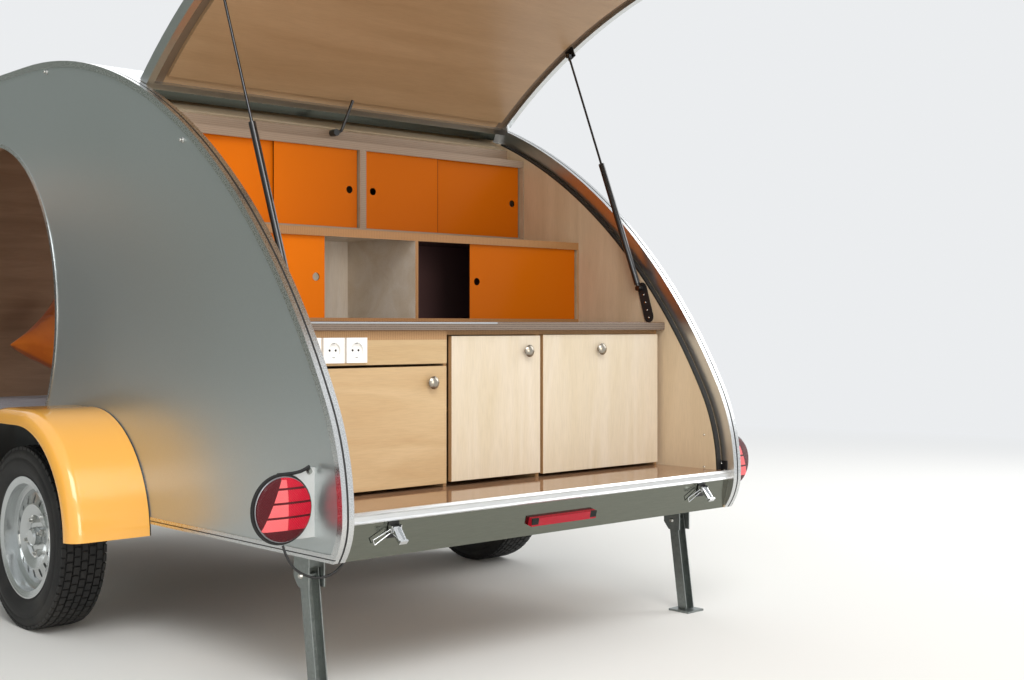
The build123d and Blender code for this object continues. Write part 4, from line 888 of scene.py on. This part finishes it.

# %% [markdown]
# ## Socket outlets
# Each white outlet has a round recess with two pin holes and two sprung earth contacts. The CAD solid has the
# recess. The holes are dark discs a hair above its floor, painted shade where the holes go in, and the contacts
# are bright tongues.

# %% Outlet details
OUTLET_X, OUTLET_PITCH, OUTLET_Z = -0.666, 0.073, 0.842
PIN_X, PIN_RADIUS, TONGUE_Z = 0.0095, 0.0031, 0.0185
# painted shade: a dark disc stands where each pin hole goes into the outlet
pin_hole_shade = paint("pin_hole_painted_shade", "#080808", 0.8)
parts = []
for count in range(3):
    x = OUTLET_X + OUTLET_PITCH * count
    for side in (-1, 1):
        disc = bmesh.new()
        bmesh.ops.create_cone(disc, cap_ends=True, segments=14, radius1=PIN_RADIUS, radius2=PIN_RADIUS,
                              depth=0.0006)
        hole = cast(disc, "pin_hole", pin_hole_shade)
        hole.transform(Matrix.Rotation(math.pi / 2, 4, "X"))
        hole.transform(Matrix.Translation(at(x + side * PIN_X, GALLEY_FRONT - 0.0022, OUTLET_Z)))
        tongue = OUTLET_Z + side * TONGUE_Z
        parts += [hole, block(at(x - 0.003, GALLEY_FRONT - 0.0085, tongue - 0.0012),
                              at(x + 0.003, GALLEY_FRONT - 0.0020, tongue + 0.0012), nut_zinc)]
piece("outlet_details", parts)

# %% [markdown]
# ## Bed and cushion
# A mattress and a scatter cushion are padded, so they are swollen by a short cloth simulation: the shape is
# remeshed into even quads, inflated with gravity off, and stopped before it leaves its place. The cover is
# woven cotton, whose threads are drawn 1.5 mm apart, coarser than life so that they show.

# %% Woven cotton
WEAVE = 0.0015


def cotton(name, tone, shade):
    """Plain woven cotton: threads over and under, with a soft sheen at grazing angles."""
    f = start_finish(name, {"Sheen Weight": 0.25, "Sheen Roughness": 0.5})
    turns = 2 * math.pi / WEAVE
    warp = calc(f, "SINE", calc(f, "MULTIPLY", f.x, turns))
    weft = calc(f, "SINE", calc(f, "MULTIPLY", calc(f, "ADD", f.y, f.z), turns))
    cloth = calc(f, "MULTIPLY", warp, weft)
    blotch = remap(f, noise(f, 11.0, 5.0), (0.35, 0.7))
    return lay_finish(f, {"color": blend(f, blotch, srgb(shade), srgb(tone)), "roughness": 0.9,
                          "height": remap(f, cloth, (-1.0, 1.0), (0.0, 0.35))})


grey_cotton = cotton("grey_cotton", "#8c8890", "#7b777f")
orange_cotton = cotton("orange_cotton", "#f08122", "#e0701a")

# %% Blow up with cloth
SWELL_FRAMES = 20


def inflate(pad, pressure, cap):
    """Blows a pad up with a cloth simulation, and keeps each point within a cap."""
    cloth = pad.modifiers.new("cloth", "CLOTH")
    cloth.settings.use_pressure = True
    cloth.settings.uniform_pressure_force = pressure
    cloth.settings.effector_weights.gravity = 0
    cloth.settings.quality = 4
    cloth.point_cache.frame_start = 1
    cloth.point_cache.frame_end = SWELL_FRAMES
    for count in range(1, SWELL_FRAMES + 1):
        bpy.context.scene.frame_set(count)
    swollen = baked(pad)
    pad.modifiers.remove(cloth)
    for old, new in zip(pad.data.vertices, swollen.vertices):
        move = new.co - old.co
        if move.length > cap:
            move *= cap / move.length
        old.co = old.co + move
    bpy.context.scene.frame_set(1)


# %% Swell a shape
def swell(name, mesh, voxel, pressure, cap, mat):
    """Remeshes a shape into even quads, swells it and smooths it."""
    start = put_in("start", mesh)
    remesh = start.modifiers.new("even", "REMESH")
    remesh.mode = "VOXEL"
    remesh.voxel_size = voxel
    even = baked(start)
    bpy.data.objects.remove(start)
    even.name = name
    even.materials.clear()
    even.materials.append(mat)
    pad = put_in(name, even)
    inflate(pad, pressure, cap)
    for face in even.polygons:
        face.use_smooth = True
    smooth = pad.modifiers.new("smooth", "SUBSURF")
    smooth.levels = 1
    smooth.render_levels = 1
    print(name, len(even.polygons), "faces before smoothing")
    return pad


# %% Mattress
INSET = (0.005, 0.006, 0.006)
slab = bmesh.new()
slab.from_mesh(nodes["mattress"].data)
bmesh.ops.remove_doubles(slab, verts=slab.verts[:], dist=1e-5)
low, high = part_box("mattress")
middle = (low + high) / 2
for v in slab.verts:
    for i, inset in enumerate(INSET):
        v.co[i] += math.copysign(inset, middle[i] - v.co[i])
mattress_pad = swell("mattress_pad", cast(slab, "mattress_pad"), voxel=0.024, pressure=2.0, cap=0.005,
                     mat=grey_cotton)
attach(mattress_pad, "trailer")
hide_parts("mattress")

# %% [markdown]
# The cushion is two puffed squares joined along a thin edge. Its sides are drawn in at the middle, as the
# cover of a real one is when the filling rounds it, so the corners stand out as points.

# %% Shape of the scatter cushion
SIDE, PUFF, GRID = 0.198, 0.052, 40   # half the side, half the thickness, and quads along a side
DRAW_IN, EDGE_HALF = 0.07, 0.004
shape = bmesh.new()
knots = {}
for side in (1, -1):
    for i in range(GRID + 1):
        for j in range(GRID + 1):
            u, v = 2 * i / GRID - 1, 2 * j / GRID - 1
            pull_u, pull_v = 1 - DRAW_IN * (1 - u * u), 1 - DRAW_IN * (1 - v * v)
            puff = ((1 - u ** 4) * (1 - v ** 4)) ** 0.55
            knots[side, i, j] = shape.verts.new((SIDE * u * pull_v, SIDE * v * pull_u,
                                                 side * (PUFF * puff + EDGE_HALF)))
    for i in range(GRID):
        for j in range(GRID):
            ring = [knots[side, a, b] for a, b in ((i, j), (i + 1, j), (i + 1, j + 1), (i, j + 1))]
            shape.faces.new(ring if side > 0 else ring[::-1])
border = [(i, 0) for i in range(GRID)] + [(GRID, j) for j in range(GRID)] \
    + [(i, GRID) for i in range(GRID, 0, -1)] + [(0, j) for j in range(GRID, 0, -1)]
for one, two in zip(border, border[1:] + border[:1]):
    shape.faces.new((knots[1, *two], knots[1, *one], knots[-1, *one], knots[-1, *two]))
bmesh.ops.recalc_face_normals(shape, faces=shape.faces[:])
pillow_mesh = cast(shape, "scatter_cushion")

# %% Set the cushion in its place
low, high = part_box("cushion")
lean, roll = math.radians(45), math.radians(45)
away = Vector((0, -math.cos(lean), math.sin(lean)))
upward = away.cross(Vector((1, 0, 0)))
turn = Matrix((Vector((1, 0, 0)), upward, away)).transposed().to_4x4()
pillow_mesh.transform(Matrix.Translation((low + high) / 2) @ turn @ Matrix.Rotation(roll, 4, "Z"))
pillow = swell("scatter_cushion", pillow_mesh, voxel=0.006, pressure=4.0, cap=0.009, mat=orange_cotton)
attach(pillow, "trailer")
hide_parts("cushion")

cable.data.materials.append(flex_sheath)
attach(cable, "trailer")
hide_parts("lamp_cable")

# %% [markdown]
# ## Studio
# The floor is plain and pale and takes the shadow. Four large soft lamps stand in for an overcast sky: a high
# one and a low one behind the galley, one at the right and one at the front. The world adds an even fill, and
# shows as white to the camera and to whatever mirrors or looks through to it. A grey card stands out of view
# at the front left, where trees would be mirrored in the wall.

# %% Floor
SKY = srgb("#f4f6f8")


def stage_face(name, corners, mat):
    """One flat face of the set, which is no part of the object."""
    mesh = bpy.data.meshes.new(name)
    mesh.from_pydata(corners, [], [(0, 1, 2, 3)])
    mesh.materials.append(mat)
    put_in(name, mesh)


f = start_finish("pale_floor", {"Emission Color": SKY, "Specular IOR Level": 0.0})
fade = remap(f, calc_vector(f, "LENGTH", f.point), (3.0, 8.0))
f.tree.links.new(calc(f, "MULTIPLY", fade, 0.92), f.shader.inputs["Emission Strength"])
floor_mat = lay_finish(f, {"color": blend(f, fade, srgb("#e4e3df"), srgb("#000000")), "roughness": 0.9})
stage_face("floor", [(-60, -60, 0), (60, -60, 0), (60, 60, 0), (-60, 60, 0)], floor_mat)

# %% World and lamps
world = bpy.data.worlds.new("studio")
world.use_nodes = True
bpy.context.scene.world = world
world.node_tree.nodes.clear()
w = SimpleNamespace(tree=world.node_tree)
ray = add_node(w.tree, "ShaderNodeLightPath").outputs
seen = calc(w, "MAXIMUM", calc(w, "MAXIMUM", ray["Is Camera Ray"], ray["Is Glossy Ray"]),
            ray["Is Transmission Ray"])
glow = add_node(w.tree, "ShaderNodeBackground", {"Color": SKY, "Strength": remap(w, seen, to=(0.78, 0.92))})
add_node(w.tree, "ShaderNodeOutputWorld", {"Surface": glow.outputs[0]})


def soft_lamp(name, place, target, size, power, tint="#ffffff"):
    """A square soft lamp aimed at a point."""
    data = bpy.data.lights.new(name, "AREA")
    data.size = size
    data.energy = power
    data.color = srgb(tint)[:3]
    lamp = put_in(name, data)
    lamp.location = place
    lamp.rotation_euler = (Vector(target) - Vector(place)).to_track_quat("-Z", "Y").to_euler()


soft_lamp("key", (-3.2, -6.6, 6.4), (0, -1.2, 0.6), 4.0, 330)
soft_lamp("low_fill", (-1.8, -7.0, 1.5), (0, -1.2, 0.8), 2.2, 100, "#fff4e6")
soft_lamp("right_fill", (5.5, -2.5, 3.5), (0, 0, 0.8), 4.0, 170)
soft_lamp("front_fill", (3.0, 6.5, 4.0), (0, 0, 0.8), 5.5, 150)

# %% A grey card for the left wall to mirror
f = start_finish("grey_card", {"Specular IOR Level": 0.0})
card_grey = lay_finish(f, {"color": srgb("#7b8078"), "roughness": 0.9})
looked_at = add_node(f.tree, "ShaderNodeLightPath").outputs["Is Camera Ray"]
f.tree.links.new(calc(f, "SUBTRACT", 1.0, looked_at), f.shader.inputs["Alpha"])
stage_face("card", [(-8.5, -1.0, 0), (-2.6, 8.5, 0), (-2.6, 8.5, 5.5), (-8.5, -1.0, 5.5)], card_grey)
bpy.context.scene.view_settings.view_transform = "Standard"
print("floor, world, four lamps and a card")
